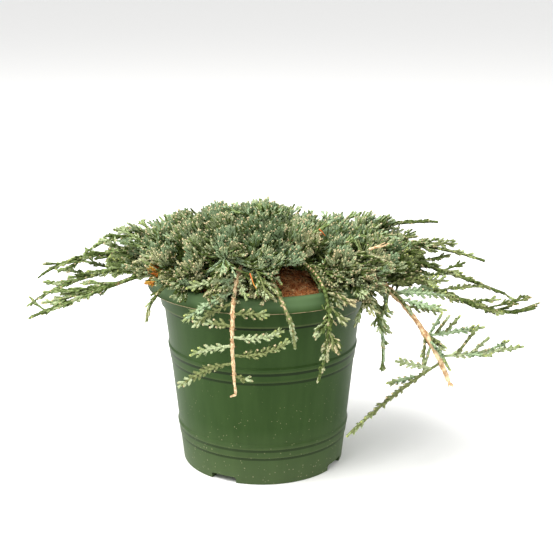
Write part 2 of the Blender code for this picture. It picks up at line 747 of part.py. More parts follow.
def main():
    for old in list(bpy.data.objects):
        bpy.data.objects.remove(old)
    home = collection("potted creeping juniper")
    cutters = collection("cutters", hidden=True)
    green_plastic = material("green plastic", (0.045, 0.130, 0.055), 0.42)
    coir = material("coir substrate", (0.230, 0.065, 0.025), 0.95)
    bark = material("juniper bark", (0.420, 0.240, 0.130), 0.85)
    foliage = material("juniper foliage", (0.150, 0.260, 0.180), 0.70)
    solids = [build_pot(home, cutters, green_plastic), build_root_ball(home, coir), build_trunk(home, bark)]
    solids += [build_bough(stem, home, bark) for stem in STEMS]
    masses = [build_mass_stem(stem, home, foliage) for stem in STEMS]
    bpy.context.view_layer.update()
    room = [(made.name, surface_tree(made)) for made in solids + masses]
    pieces = grow(room)
    for stem, mass in zip(STEMS, masses):
        fuse(mass, pieces[stem])


main()
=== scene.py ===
# %% [markdown]
# # A creeping juniper in a nursery pot
# The plant is a low, wide juniper in a green plastic pot. Its solids are already made: a pot, a root
# ball, a short trunk, boughs, and one closed body for each mass of foliage. This lesson dresses them.
# The solids are loaded first and never moved, so every new piece is modelled straight in their place.

# %% Load the solids as a fixed frame
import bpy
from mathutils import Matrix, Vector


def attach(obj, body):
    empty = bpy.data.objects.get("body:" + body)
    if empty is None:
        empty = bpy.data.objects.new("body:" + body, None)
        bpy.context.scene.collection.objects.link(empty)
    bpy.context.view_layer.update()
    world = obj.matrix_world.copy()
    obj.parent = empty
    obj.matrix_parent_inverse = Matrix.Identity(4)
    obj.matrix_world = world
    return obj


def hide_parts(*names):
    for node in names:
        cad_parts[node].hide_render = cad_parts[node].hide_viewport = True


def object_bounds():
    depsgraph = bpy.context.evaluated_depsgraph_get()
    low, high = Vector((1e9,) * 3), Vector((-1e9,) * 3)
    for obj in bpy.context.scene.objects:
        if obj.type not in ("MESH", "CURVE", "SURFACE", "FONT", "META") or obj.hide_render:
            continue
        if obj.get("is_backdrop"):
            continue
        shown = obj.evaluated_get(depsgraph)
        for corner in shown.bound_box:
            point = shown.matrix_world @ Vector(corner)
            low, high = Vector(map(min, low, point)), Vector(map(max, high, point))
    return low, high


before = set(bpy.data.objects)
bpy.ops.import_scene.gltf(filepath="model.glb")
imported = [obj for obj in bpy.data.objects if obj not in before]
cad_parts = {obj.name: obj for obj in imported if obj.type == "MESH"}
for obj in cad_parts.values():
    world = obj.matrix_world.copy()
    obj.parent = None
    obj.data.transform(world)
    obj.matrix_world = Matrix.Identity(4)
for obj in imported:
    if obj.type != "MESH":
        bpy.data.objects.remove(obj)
solid_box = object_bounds()
print("solids:", len(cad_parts), "box:", [round(x, 3) for corner in solid_box for x in corner])

# %% Modules
import random
from collections import namedtuple
from math import atan2, cos, pi, radians, sin

import bmesh
import bpy
import numpy as np
from mathutils import Matrix, Vector, noise

MM = 0.001
UP = Vector((0, 0, 1))
BODY = "root"

# %% [markdown]
# ## The view and the light
# The photo was taken from a little above the rim, from nearly a metre away, with a long lens. The
# camera's place was worked out from the pot, whose lip, bands and foot are circles of known size.
# The plant stands in a white studio: big soft lamps above and to the left, and a pale floor that
# throws light back up. A plain view transform keeps the pale floor white and the greens as they are.

# %% Camera
CAMERA_PLACE = Vector((0, -0.927, 0.411))
CAMERA_TILT = 74.65
CAMERA_TURN = -0.72
LENS_MM = 75.3
SENSOR_MM = 36.0

camera_data = bpy.data.cameras.new("camera")
camera_data.lens = LENS_MM
camera_data.sensor_width = SENSOR_MM
camera_data.clip_start = 0.01
camera = bpy.data.objects.new("camera", camera_data)
camera.location = CAMERA_PLACE
camera.rotation_euler = (radians(CAMERA_TILT), 0, radians(CAMERA_TURN))
bpy.context.scene.collection.objects.link(camera)
bpy.context.scene.camera = camera
print("camera", round(CAMERA_PLACE.length, 3), "m from the pot's foot")

# %% Lamps and sky
MIDDLE = Vector((0, 0, 0.14))


def lamp(name, place, size, watts, tint=(1, 1, 1)):
    """A square soft box that faces the plant."""
    data = bpy.data.lights.new(name, "AREA")
    data.size = size
    data.energy = watts
    data.color = tint
    made = bpy.data.objects.new(name, data)
    made.location = place
    made.rotation_euler = (MIDDLE - Vector(place)).to_track_quat("-Z", "Y").to_euler()
    bpy.context.scene.collection.objects.link(made)
    return made


lamp("key", (-0.85, -0.60, 2.25), 1.9, 104, (1, 0.99, 0.97))
lamp("left_edge", (-1.5, 0.25, 0.5), 0.9, 9)
lamp("right_edge", (1.5, 0.10, 0.5), 0.9, 5)

scene = bpy.context.scene
scene.world = bpy.data.worlds.new("studio")
scene.world.use_nodes = True
scene.world.node_tree.nodes["Background"].inputs["Color"].default_value = (1, 1, 1, 1)
scene.world.node_tree.nodes["Background"].inputs["Strength"].default_value = 0.85
scene.view_settings.view_transform = "Standard"
print("lamps:", len(bpy.data.lights))

# %% [markdown]
# ## Finishes
# A finish is a Principled surface with a small tree of nodes. Two helpers are enough: one turns a
# colour, written as sRGB hex, into the linear values that Blender wants, and one adds a node with its
# settings and its links. Patterns are placed on Object coordinates, which are real metres here, so a
# grain of half a millimetre is written as a scale of one over half a millimetre.

# %% Helpers for finishes


def linear(colour, alpha=1.0):
    """An sRGB hex colour as linear values."""
    shares = [int(colour[i : i + 2], 16) / 255 for i in (1, 3, 5)]
    return tuple(c / 12.92 if c <= 0.04045 else ((c + 0.055) / 1.055) ** 2.4 for c in shares) + (alpha,)


def add_node(tree, kind, links=None, **settings):
    """A node of a kind, with settings, and links given as input name or number to output socket."""
    node = tree.nodes.new(kind)
    for key, value in settings.items():
        setattr(node, key, value)
    for socket, source in (links or {}).items():
        if isinstance(source, bpy.types.NodeSocket):
            tree.links.new(source, node.inputs[socket])
        else:
            node.inputs[socket].default_value = source
    return node


def new_finish(name, roughness, **constants):
    """A Principled material, its tree, its shader and the place of each point in metres."""
    made = bpy.data.materials.new(name)
    made.use_nodes = True
    tree = made.node_tree
    shader = tree.nodes["Principled BSDF"]
    shader.inputs["Roughness"].default_value = roughness
    for socket, value in constants.items():
        shader.inputs[socket.replace("_", " ")].default_value = value
    place = add_node(tree, "ShaderNodeTexCoord").outputs["Object"]
    return made, tree, shader, place


def grain(tree, place, size_mm, detail=2.0, rough=0.5, stretch=(1, 1, 1)):
    """A noise whose lumps are about size_mm across, longer where stretch is below 1."""
    mapped = add_node(tree, "ShaderNodeMapping", {"Vector": place, "Scale": stretch})
    return add_node(
        tree,
        "ShaderNodeTexNoise",
        {"Vector": mapped.outputs[0], "Scale": 1 / (size_mm * MM), "Detail": detail, "Roughness": rough},
    ).outputs["Fac"]


def between(tree, share, low, high):
    """A share stretched so that low becomes 0 and high becomes 1."""
    return add_node(tree, "ShaderNodeMapRange", {"Value": share, "From Min": low, "From Max": high}).outputs[0]


def blend(tree, share, first, second):
    """A mix of two colours, each a hex colour or a socket."""
    node = add_node(tree, "ShaderNodeMix", data_type="RGBA")
    for socket, value in ((0, share), (6, first), (7, second)):
        if isinstance(value, bpy.types.NodeSocket):
            tree.links.new(value, node.inputs[socket])
        else:
            node.inputs[socket].default_value = linear(value) if isinstance(value, str) else value
    return node.outputs[2]


def relief(tree, shader, height, depth_mm):
    """Lets a height, as a share of depth_mm, tilt the surface."""
    bump = add_node(tree, "ShaderNodeBump", {"Height": height, "Distance": depth_mm * MM, "Strength": 1.0})
    tree.links.new(bump.outputs[0], shader.inputs["Normal"])


# %% [markdown]
# ## Helpers for pieces
# Every finished piece is a mesh object at the origin, with its place in its vertices. It rides on the
# plant's one body, takes its finish, and hides the solids that it stands for.

# %% Helpers for pieces


def piece(name, mesh, finish, stands_for=()):
    """Puts a mesh in the scene as a piece of the plant."""
    made = bpy.data.objects.new(name, mesh)
    bpy.context.scene.collection.objects.link(made)
    mesh.materials.clear()
    mesh.materials.append(finish)
    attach(made, BODY)
    if stands_for:
        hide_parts(*stands_for)
    print(name, sum(len(face.vertices) - 2 for face in mesh.polygons), "triangles")
    return made


def mesh_of(name, shape, smooth_angle=None):
    """A bmesh as a mesh, shaded smooth up to an angle."""
    mesh = bpy.data.meshes.new(name)
    shape.to_mesh(mesh)
    shape.free()
    if smooth_angle:
        mesh.shade_smooth()
        mesh.set_sharp_from_angle(angle=radians(smooth_angle))
    return mesh


def mesh_from_arrays(name, points, faces, smooth=False):
    """A mesh of many small things: points (n, 3) and faces (m, 3 or 4), straight from arrays."""
    mesh = bpy.data.meshes.new(name)
    sides = faces.shape[1]
    mesh.vertices.add(len(points))
    mesh.vertices.foreach_set("co", points.astype(np.float32).ravel())
    mesh.loops.add(faces.size)
    mesh.loops.foreach_set("vertex_index", faces.astype(np.int32).ravel())
    mesh.polygons.add(len(faces))
    mesh.polygons.foreach_set("loop_start", np.arange(0, faces.size, sides, dtype=np.int32))
    mesh.update(calc_edges=True)
    mesh.validate()
    if smooth:
        mesh.shade_smooth()
    return mesh


# %% [markdown]
# ## The pot
# A nursery pot is blown or moulded from thin polypropylene. It is a cone with a collar, a lip that is
# turned out for lifting, two raised bands that stiffen the wall, and a foot that drains to the side.
# All of it is round, so one outline is spun about the axis. The outline is fine where the real edge
# is: the lip's round, and the bands, each a narrow bead with a lower step below it.

# %% The pot's sizes
POT_HEIGHT = 0.164
LIP_RADIUS = 0.095
LIP_HEIGHT = 0.0115
LIP_ROUND = 0.0034
LIP_SLANT = 0.0028
COLLAR_HEIGHT = 0.0260
COLLAR_STEP = 0.0025
FOOT_RADIUS = 0.0679
WALL_SLOPE = 0.102
WALL = 0.0015
FLOOR = 0.0020
BAND_DEPTH = 0.00060
BEAD_DEPTH = 0.00100
BANDS = ((0.0243, 0.0318, 0.0352), (0.0911, 0.0991, 0.1030))
REST_RADIUS = 0.045
CHANNEL_RADIUS = 0.0600
CHANNEL_HEIGHT = 0.0060
NOTCH_WIDTH = 0.0225
NOTCH_HEIGHT = 0.0052
NOTCH_BEARING = -28.5
NOTCHES = 4
DRAIN_RADIUS = 0.0040
POT_TURNS = 160


def heading(bearing, pitch=0.0):
    """The direction of a bearing, 0 to the front and 90 to the right, and of a pitch above the level."""
    b, p = radians(bearing), radians(pitch)
    return Vector((sin(b) * cos(p), -cos(b) * cos(p), sin(p)))


def wall_radius(height):
    """The pot's outer radius below its collar."""
    return FOOT_RADIUS + WALL_SLOPE * height


def arc(radius, height, round_, first, last, steps=6):
    """Points of a round edge, with its centre given, from one angle to another."""
    angles = [radians(first + (last - first) * i / steps) for i in range(steps + 1)]
    return [(radius + round_ * cos(a), height + round_ * sin(a)) for a in angles]


def pot_outline():
    """Radius and height, from the inside floor up the wall, over the lip and down the outside."""
    collar_low, lip_low = POT_HEIGHT - COLLAR_HEIGHT, POT_HEIGHT - LIP_HEIGHT
    collar_radius = wall_radius(collar_low) + COLLAR_STEP
    neck_radius = collar_radius + WALL_SLOPE * (lip_low - collar_low)
    floor = CHANNEL_HEIGHT + FLOOR
    soft = 0.0004
    points = [(0, floor), (wall_radius(floor) - WALL, floor), (wall_radius(collar_low) - WALL, collar_low)]
    points += [(neck_radius - WALL, lip_low), (neck_radius - WALL + 0.0006, POT_HEIGHT - 0.002)]
    points += [(neck_radius + 0.0012, POT_HEIGHT - 0.0001)]
    points += arc(LIP_RADIUS - LIP_SLANT - LIP_ROUND, POT_HEIGHT - LIP_ROUND, LIP_ROUND, 90, 8)
    points += arc(LIP_RADIUS - soft, lip_low + soft, soft, 0, -90, 3)
    points += [(LIP_RADIUS - WALL, lip_low), (LIP_RADIUS - WALL, lip_low + 0.003), (neck_radius, lip_low + 0.003)]
    points += arc(collar_radius - soft, collar_low + soft, soft, 0, -90, 3)
    points += [(wall_radius(collar_low), collar_low - 0.0006)]
    for low, middle, high in reversed(BANDS):
        points += [(wall_radius(high), high + 0.0010), (wall_radius(high) + BEAD_DEPTH, high - 0.0006)]
        points += arc(wall_radius(middle) + BEAD_DEPTH - soft, middle + soft, soft, 0, -80, 3)
        points += [(wall_radius(middle) + BAND_DEPTH, middle - 0.0003)]
        points += arc(wall_radius(low) + BAND_DEPTH - soft / 2, low + soft / 2, soft / 2, 0, -80, 3)
        points += [(wall_radius(low), low - 0.0003)]
    points += arc(FOOT_RADIUS - 0.0008, 0.0008, 0.0008, 0, -90, 4)
    points += [(CHANNEL_RADIUS, 0), (CHANNEL_RADIUS - 0.001, CHANNEL_HEIGHT)]
    points += [(REST_RADIUS + 0.001, CHANNEL_HEIGHT), (REST_RADIUS, 0), (0, 0)]
    return points


print("pot outline points:", len(pot_outline()))

# %% The pot's shape


def spun(outline, turns):
    """A closed solid spun about the axis from points of radius and height."""
    shape = bmesh.new()
    verts = [shape.verts.new((radius, 0, height)) for radius, height in outline]
    edges = [shape.edges.new(pair) for pair in zip(verts, verts[1:])]
    bmesh.ops.spin(
        shape, geom=verts + edges, cent=(0, 0, 0), axis=(0, 0, 1), angle=2 * pi, steps=turns, use_merge=True
    )
    bmesh.ops.remove_doubles(shape, verts=shape.verts, dist=0.01 * MM)
    bmesh.ops.recalc_face_normals(shape, faces=shape.faces)
    return shape


def drain_cutter():
    """The notches through the foot and the drain holes, as one mesh to cut away."""
    shape = bmesh.new()
    for i in range(NOTCHES):
        bearing = NOTCH_BEARING + 360 * i / NOTCHES
        turn = Matrix.Rotation(radians(bearing), 4, "Z")
        across = (CHANNEL_RADIUS + FOOT_RADIUS) / 2
        size = Matrix.Diagonal((NOTCH_WIDTH, 0.014, 2 * NOTCH_HEIGHT, 1))
        place = Matrix.Translation(heading(bearing) * across) @ turn @ size
        notch = bmesh.ops.create_cube(shape, size=1, matrix=place)["verts"]
        uprights = {e for v in notch for e in v.link_edges if abs(e.verts[0].co.z - e.verts[1].co.z) < 1e-6}
        radial = [e for e in uprights if abs((e.verts[0].co - e.verts[1].co).normalized() @ heading(bearing)) > 0.9]
        bmesh.ops.bevel(
            shape, geom=radial, offset=1.5 * MM, segments=4, profile=0.5, material=-1, affect="EDGES"
        )
        hole = Matrix.Translation(heading(bearing) * (REST_RADIUS + CHANNEL_RADIUS) / 2)
        bmesh.ops.create_cone(
            shape, cap_ends=True, segments=32, radius1=DRAIN_RADIUS, radius2=DRAIN_RADIUS, depth=0.024, matrix=hole
        )
    return mesh_of("drain_cutter", shape)


def cut_away(mesh, cutter_mesh):
    """The mesh with the cutter's shape taken out of it."""
    body = bpy.data.objects.new("cut", mesh)
    cutter = bpy.data.objects.new("cutter", cutter_mesh)
    for made in (body, cutter):
        bpy.context.scene.collection.objects.link(made)
    cut = body.modifiers.new("Drains", "BOOLEAN")
    cut.operation = "DIFFERENCE"
    cut.object = cutter
    cut.solver = "EXACT"
    bpy.context.view_layer.update()
    result = bpy.data.meshes.new_from_object(body.evaluated_get(bpy.context.evaluated_depsgraph_get()))
    for made in (body, cutter):
        bpy.data.objects.remove(made)
    return result


pot_mesh = cut_away(mesh_of("pot_body", spun(pot_outline(), POT_TURNS)), drain_cutter())
pot_mesh.shade_smooth()
pot_mesh.set_sharp_from_angle(angle=radians(28))
print("pot faces:", len(pot_mesh.polygons))

# %% [markdown]
# ## Green polypropylene
# The pot is injection moulded in dark green polypropylene, a waxy plastic with a satin skin. It has a
# very fine moulding grain, faint streaks where the melt flowed down the wall, and dry potting dust:
# pale specks that get denser towards the foot, and a thin tan line caught under the lip. Light is
# painted into the colour too: a lighter grey-green towards the foot for the light that the floor throws
# up, a painted highlight on the lip's top, a pale line along the lower edge of the collar and of each
# band, partly dust and partly painted highlight, and a dark painted shadow in the corner below each.

# %% Finish of the pot
pot_finish, tree, shader, place = new_finish("polypropylene_moulded_green", 0.46, Specular_IOR_Level=0.09)
streaks = grain(tree, place, 9, 3, 0.55, (1, 1, 0.12))
plastic = blend(tree, between(tree, streaks, 0.35, 0.68), "#283e18", "#2e441d")
height = add_node(tree, "ShaderNodeSeparateXYZ", {"Vector": place}).outputs["Z"]
specks = add_node(tree, "ShaderNodeTexVoronoi", {"Vector": place, "Scale": 1 / (3.4 * MM)}).outputs["Distance"]
patch = grain(tree, place, 16, 2)
low_down = between(tree, height, 0.125, 0.0)
reach = add_node(tree, "ShaderNodeMath", {0: low_down, 1: patch}, operation="MULTIPLY").outputs[0]
reach = add_node(tree, "ShaderNodeMath", {0: reach, 1: 0.34}, operation="MULTIPLY").outputs[0]
dust = add_node(tree, "ShaderNodeMath", {0: specks, 1: reach}, operation="LESS_THAN").outputs[0]
dust = add_node(tree, "ShaderNodeMath", {0: dust, 1: 0.55}, operation="MULTIPLY").outputs[0]
plastic = blend(tree, dust, plastic, "#8b8a68")
# Towards the foot the colour turns a lighter grey-green: painted light, standing in for the light that the floor throws
# up.
painted_bounce_light = add_node(tree, "ShaderNodeMath", {0: between(tree, height, 0.05, -0.01), 1: 0.22}, operation="MULTIPLY")
plastic = blend(tree, painted_bounce_light.outputs[0], plastic, "#84906e")
lip_low = POT_HEIGHT - LIP_HEIGHT
line = add_node(tree, "ShaderNodeMath", {0: height, 1: lip_low - 0.0004, 2: 0.0009}, operation="COMPARE").outputs[0]
broken = between(tree, grain(tree, place, 5, 3), 0.30, 0.50)
line = add_node(tree, "ShaderNodeMath", {0: line, 1: broken}, operation="MULTIPLY").outputs[0]
plastic = blend(tree, line, plastic, "#a08d6c")
# The lip's top is painted a lighter green: a painted highlight where the light falls on it.
painted_lip_highlight = add_node(tree, "ShaderNodeMath", {0: between(tree, height, lip_low, POT_HEIGHT - 0.006), 1: 0.42}, operation="MULTIPLY")
plastic = blend(tree, painted_lip_highlight.outputs[0], plastic, "#6f8a62")
# Along each step the colour carries light: a pale line just above it, partly dust and partly a painted highlight, and a
# dark painted shadow in the corner below it.
STEP_HIGHLIGHTS_AND_SHADOWS = (
    (POT_HEIGHT - COLLAR_HEIGHT, 0.13, 0.80),
    (BANDS[1][1], 0.04, 0.70),
    (BANDS[1][0], 0.04, 0.60),
    (BANDS[0][1], 0.04, 0.50),
    (BANDS[0][0], 0.04, 0.50),
)
for step, dust_and_highlight, painted_shadow in STEP_HIGHLIGHTS_AND_SHADOWS:
    for middle, half, share, colour in ((step + 0.0008, 0.0007, dust_and_highlight, "#8a8a63"), (step - 0.0012, 0.0011, painted_shadow, "#0c1407")):
        near = add_node(tree, "ShaderNodeMath", {0: height, 1: middle, 2: half}, operation="COMPARE").outputs[0]
        near = add_node(tree, "ShaderNodeMath", {0: near, 1: share}, operation="MULTIPLY").outputs[0]
        plastic = blend(tree, near, plastic, colour)
tree.links.new(plastic, shader.inputs["Base Color"])
relief(tree, shader, grain(tree, place, 0.9, 3), 0.05)
pot = piece("pot_moulded", pot_mesh, pot_finish, ["pot"])

# %% [markdown]
# ## The root ball
# The pot is full of coir, the short rusty fibre of coconut husk, mixed with peat. Only its top shows.
# Its body is spun like the pot, and its top is broken up by noise. Loose fibres lie on it: many fine
# curved hairs, made together from arrays because there are hundreds of them.

# %% Sizes of the root ball
GAP = 0.0003
BALL_EDGE = 0.1570
BALL_TOP = 0.1720
BALL_SEAT = 0.0130
BALL_RINGS = 46
BALL_TURNS = 150
CRUMB_DEPTH = 0.0022


def soil_height(radius):
    """The root ball's top at a distance from the axis."""
    across = max(radius - BALL_SEAT, 0) / (wall_radius(BALL_EDGE) - BALL_SEAT)
    return BALL_TOP - (BALL_TOP - BALL_EDGE) * min(across, 1) ** 2


def crumbs(place):
    """How far the soil's surface stands up or down at a place."""
    coarse = noise.noise(place / 0.009)
    fine = noise.fractal(place / 0.0028, 0.8, 2.1, 3)
    return CRUMB_DEPTH * (0.9 * coarse + 0.6 * fine)


# %% Shape of the root ball
inner = WALL + GAP
edge = wall_radius(BALL_EDGE) - inner
floor = CHANNEL_HEIGHT + FLOOR + GAP
outline = [(edge * i / BALL_RINGS, soil_height(edge * i / BALL_RINGS)) for i in range(BALL_RINGS + 1)]
outline += [(wall_radius(floor) - inner, floor), (0, floor)]
shape = spun(outline, BALL_TURNS)
for vert in shape.verts:
    out = Vector((vert.co.x, vert.co.y)).length
    if vert.co.z > BALL_EDGE - 0.001 and out < edge - 0.0005:
        vert.co.z += crumbs(vert.co) * min(1, (edge - out) / 0.006)
soil_mesh = mesh_of("soil", shape, 60)

soil_finish, tree, shader, place = new_finish("coir_and_peat_loose", 0.95)
lumps = between(tree, grain(tree, place, 5, 4, 0.6), 0.35, 0.65)
flecks = between(tree, grain(tree, place, 1.2, 3, 0.7), 0.42, 0.62)
earth = blend(tree, lumps, "#48200c", "#ae5a29")
tree.links.new(blend(tree, flecks, earth, "#dd9352"), shader.inputs["Base Color"])
relief(tree, shader, grain(tree, place, 1.4, 4, 0.7), 1.5)
soil = piece("coir_soil", soil_mesh, soil_finish, ["root_ball"])

# %% [markdown]
# ## How the plant grows
# The solids were grown by a rule: each stem leaves the trunk at a level, is drawn up to a crest, then
# to a shoulder, and ends at a tip. Twigs leave it to the left and right in turn, by seeded chance.
# The same rule is written again here, so the fine shoots below start from the same stems and twigs.

# %% The trunk
TRUNK_FOOT = 0.0115
TRUNK_NECK = 0.0080
TRUNK_END = 0.0052
TRUNK_HEIGHT = 0.0280
TRUNK_LEAN = Vector((0.0025, 0.0008, 0))


def trunk_at(height):
    """The trunk's centre and radius at a height."""
    share = (height - BALL_TOP) / TRUNK_HEIGHT
    flare = (TRUNK_FOOT - TRUNK_NECK) * max(1 - 2.5 * share, 0) ** 2
    radius = TRUNK_NECK + (TRUNK_END - TRUNK_NECK) * share**2 + flare
    return Vector((0, 0, height)) + TRUNK_LEAN * share**2, radius


# %% The stems
TIP_RADIUS = 0.0008
TWIG_RADIUS = 0.0012
GOLDEN_ANGLE = 137.5
SEED = 20
CROWN_TOP = 0.2175
CROWN_FALL = 0.0240
CROWN_HALF_WIDTH = 0.150
CROWN_HALF_DEPTH = 0.120
DIPS = (
    (0.054, 0.046, 0.006),
    (-0.096, 0.034, 0.007),
    (0.0070, 0.0075, -0.0040),
    (-0.0660, 0.0085, -0.0040),
    (-0.0310, 0.0090, -0.0030),
)
Stem = namedtuple(
    "Stem",
    "name bearing turn reach swing level crest shoulder tip girth bare sprays spread lift",
)
STEMS = (
    Stem("crown_top", 20, 0, 0.003, 0.8, 0.2008, 0.205, 0.209, 0.2135, 0.0018, 0.20, 5, 0.050, 0.10),
    Stem("crown_front", -42, 26, 0.092, 0.8, 0.1925, 0.198, 0.199, 0.188, 0.0018, 0.24, 3, 0.046, 0.40),
    Stem("crown_front_middle", -1, -4, 0.090, 0.8, 0.186, 0.182, 0.192, 0.182, 0.0016, 0.30, 3, 0.040, 0.45),
    Stem("crown_front_left", -50, -12, 0.092, 0.8, 0.186, 0.190, 0.191, 0.182, 0.0018, 0.26, 3, 0.042, 0.45),
    Stem("crown_front_right", 36, 18, 0.088, 0.8, 0.1925, 0.193, 0.194, 0.186, 0.0018, 0.28, 3, 0.040, 0.45),
    Stem("crown_right", 74, 4, 0.094, 0.8, 0.1925, 0.195, 0.197, 0.192, 0.0018, 0.26, 3, 0.044, 0.45),
    Stem("crown_back", 166, 0, 0.084, 0.8, 0.1925, 0.194, 0.193, 0.186, 0.0018, 0.26, 2, 0.044, 0.45),
    Stem("crown_left", -134, 34, 0.094, 0.8, 0.1925, 0.194, 0.193, 0.186, 0.0018, 0.26, 2, 0.044, 0.45),
    Stem("left_low", -75, 1, 0.190, 0.71, 0.179, 0.180, 0.156, 0.1385, 0.0024, 0.40, 8, 0.044, 0.15),
    Stem("left_middle", -88, 2, 0.186, 0.75, 0.186, 0.175, 0.169, 0.1415, 0.0022, 0.42, 8, 0.040, 0.25),
    Stem("left_upper", -84, -8, 0.184, 0.75, 0.1925, 0.172, 0.192, 0.157, 0.0020, 0.36, 8, 0.044, 0.30),
    Stem("left_back", -114, 3, 0.161, 0.76, 0.179, 0.182, 0.194, 0.166, 0.0022, 0.38, 8, 0.044, 0.35),
    Stem("front_left", -45, -7, 0.114, 1.02, 0.179, 0.181, 0.181, 0.140, 0.0020, 0.42, 7, 0.034, 0.15),
    Stem("front_hanging", -14, 2, 0.1005, 1.32, 0.179, 0.188, 0.206, 0.092, 0.0024, 0.50, 0, 0.0, 0.0),
    Stem("front_short", -8, 22, 0.101, 1.36, 0.1925, 0.188, 0.188, 0.127, 0.0018, 0.50, 0, 0.0, 0.0),
    Stem("front_right", 34, -8, 0.099, 1.42, 0.179, 0.184, 0.200, 0.100, 0.0020, 0.46, 7, 0.028, 0.0),
    Stem("right_front", 44, 12, 0.114, 1.12, 0.186, 0.187, 0.197, 0.097, 0.0020, 0.46, 7, 0.032, 0.0),
    Stem("right_hanging", 68, -4, 0.163, 0.76, 0.179, 0.192, 0.174, 0.090, 0.0024, 0.54, 0, 0.0, 0.0),
    Stem("right_low", 84, -10, 0.222, 0.72, 0.186, 0.214, 0.116, 0.147, 0.0024, 0.40, 9, 0.046, 0.22),
    Stem("right_outer", 102, -16, 0.200, 0.60, 0.179, 0.186, 0.172, 0.145, 0.0022, 0.40, 8, 0.044, 0.28),
    Stem("right_middle", 112, -20, 0.186, 0.72, 0.1925, 0.180, 0.184, 0.1675, 0.0020, 0.40, 8, 0.044, 0.28),
    Stem("right_upper", 124, -20, 0.155, 0.75, 0.186, 0.178, 0.196, 0.194, 0.0020, 0.36, 8, 0.040, 0.35),
    Stem("back_right", 140, 0, 0.158, 0.72, 0.179, 0.180, 0.186, 0.160, 0.0022, 0.36, 7, 0.050, 0.35),
    Stem("back_middle", 178, 2, 0.148, 0.72, 0.179, 0.180, 0.184, 0.156, 0.0022, 0.36, 7, 0.050, 0.35),
    Stem("back_left", -148, 0, 0.156, 0.72, 0.179, 0.182, 0.184, 0.158, 0.0022, 0.36, 6, 0.050, 0.35),
)
print("stems:", len(STEMS))

# %% The sprays that show on their own
Spray = namedtuple("Spray", "share bearing pitch length rise")
SPRAYS = {
    "front_hanging": (
        Spray(0.58, -84, 6, 0.034, -0.4),
        Spray(0.64, -70, -14, 0.042, -0.4),
        Spray(0.70, -100, -20, 0.034, -0.5),
        Spray(0.75, 80, 8, 0.024, -0.2),
        Spray(0.80, -100, 20, 0.018, -0.5),
        Spray(0.835, 84, -10, 0.036, 0.6),
        Spray(0.865, -98, -6, 0.029, -0.3),
        Spray(0.895, 82, -4, 0.042, 0.7),
        Spray(0.92, -100, -8, 0.045, -0.7),
        Spray(0.955, 76, -20, 0.010, 0.2),
        Spray(0.48, 50, -2, 0.022, -0.6),
        Spray(0.52, -40, -6, 0.022, -0.6),
        Spray(0.56, 20, -16, 0.020, -0.5),
        Spray(0.60, -60, -12, 0.018, -0.5),
    ),
    "front_short": (Spray(0.54, 64, -6, 0.016, -0.4), Spray(0.66, 70, -16, 0.018, -0.5)),
    "right_hanging": (
        Spray(0.66, 110, 10, 0.034, -0.2),
        Spray(0.845, 86, 10, 0.041, 0.0),
        Spray(0.86, 30, -16, 0.028, -0.6),
        Spray(0.92, 84, 6, 0.063, 0.1),
        Spray(0.94, -72, -26, 0.090, -0.3),
        Spray(0.835, -10, -60, 0.020, -0.3),
        Spray(0.85, 60, -24, 0.013, -0.2),
        Spray(0.875, -50, -66, 0.017, -0.2),
        Spray(0.60, 96, 8, 0.048, -0.2),
        Spray(0.64, 84, 0, 0.042, -0.1),
        Spray(0.68, 74, -10, 0.034, 0.0),
        Spray(0.72, 96, -4, 0.024, -0.2),
        Spray(0.57, 10, -14, 0.030, -0.6),
        Spray(0.60, 50, -20, 0.030, -0.6),
        Spray(0.63, -20, -24, 0.024, -0.5),
    ),
    "left_low": (Spray(0.60, -80, -12, 0.050, 0.0), Spray(0.93, -80, 38, 0.013, 0.3)),
    "left_upper": (Spray(0.70, -84, -18, 0.032, -0.2), Spray(0.88, -84, 0, 0.012, 0.0)),
    "right_low": (Spray(0.80, 70, 16, 0.034, 0.1), Spray(0.92, 78, 24, 0.016, 0.0)),
    "right_middle": (Spray(0.62, 84, 4, 0.040, -0.1),),
}
RIM_SPRAYS = {
    "front_right": (
        Spray(0.42, 70, 4, 0.026, -1.0),
        Spray(0.50, 66, -10, 0.030, -1.2),
        Spray(0.62, 76, -30, 0.018, -0.8),
        Spray(0.80, -70, -40, 0.012, -0.4),
        Spray(0.86, 80, -50, 0.012, -0.3),
    ),
    "right_front": (
        Spray(0.40, 60, -2, 0.036, -1.4),
        Spray(0.48, -30, -50, 0.046, -1.0),
        Spray(0.54, 10, -60, 0.040, -0.6),
        Spray(0.62, 70, -40, 0.032, -0.8),
        Spray(0.70, -60, -60, 0.024, -0.4),
        Spray(0.80, 84, -50, 0.014, -0.4),
    ),
}

# %% The rule of growth


def bezier(t, first, second, third, last):
    u = 1 - t
    return first * u**3 + 3 * second * u * u * t + 3 * third * u * t * t + last * t**3


def root_distance(stem):
    """Where a bough starts, out from the trunk's middle: its cut end just clears the bark, above and below."""
    if stem.level > BALL_TOP + TRUNK_HEIGHT:
        return 0
    pitch = atan2(stem.crest - stem.level, 0.35 * stem.reach - TRUNK_NECK)
    rise, lean = stem.girth * cos(pitch), stem.girth * sin(pitch)
    return GAP + max(trunk_at(stem.level + rise * side)[1] + lean * side for side in (-1, 0, 1))


def stem_point(stem, share):
    """A point of the stem's centre line."""
    centre = trunk_at(stem.level)[0]
    out = bezier(share, root_distance(stem), 0.35 * stem.reach, stem.swing * stem.reach, stem.reach)
    height = bezier(share, stem.level, stem.crest, stem.shoulder, stem.tip)
    point = heading(stem.bearing + stem.turn * share) * out
    return Vector((point.x + centre.x * (1 - share), point.y + centre.y * (1 - share), height))


def stem_radius(stem, share):
    return stem.girth + (TIP_RADIUS - stem.girth) * share**0.8


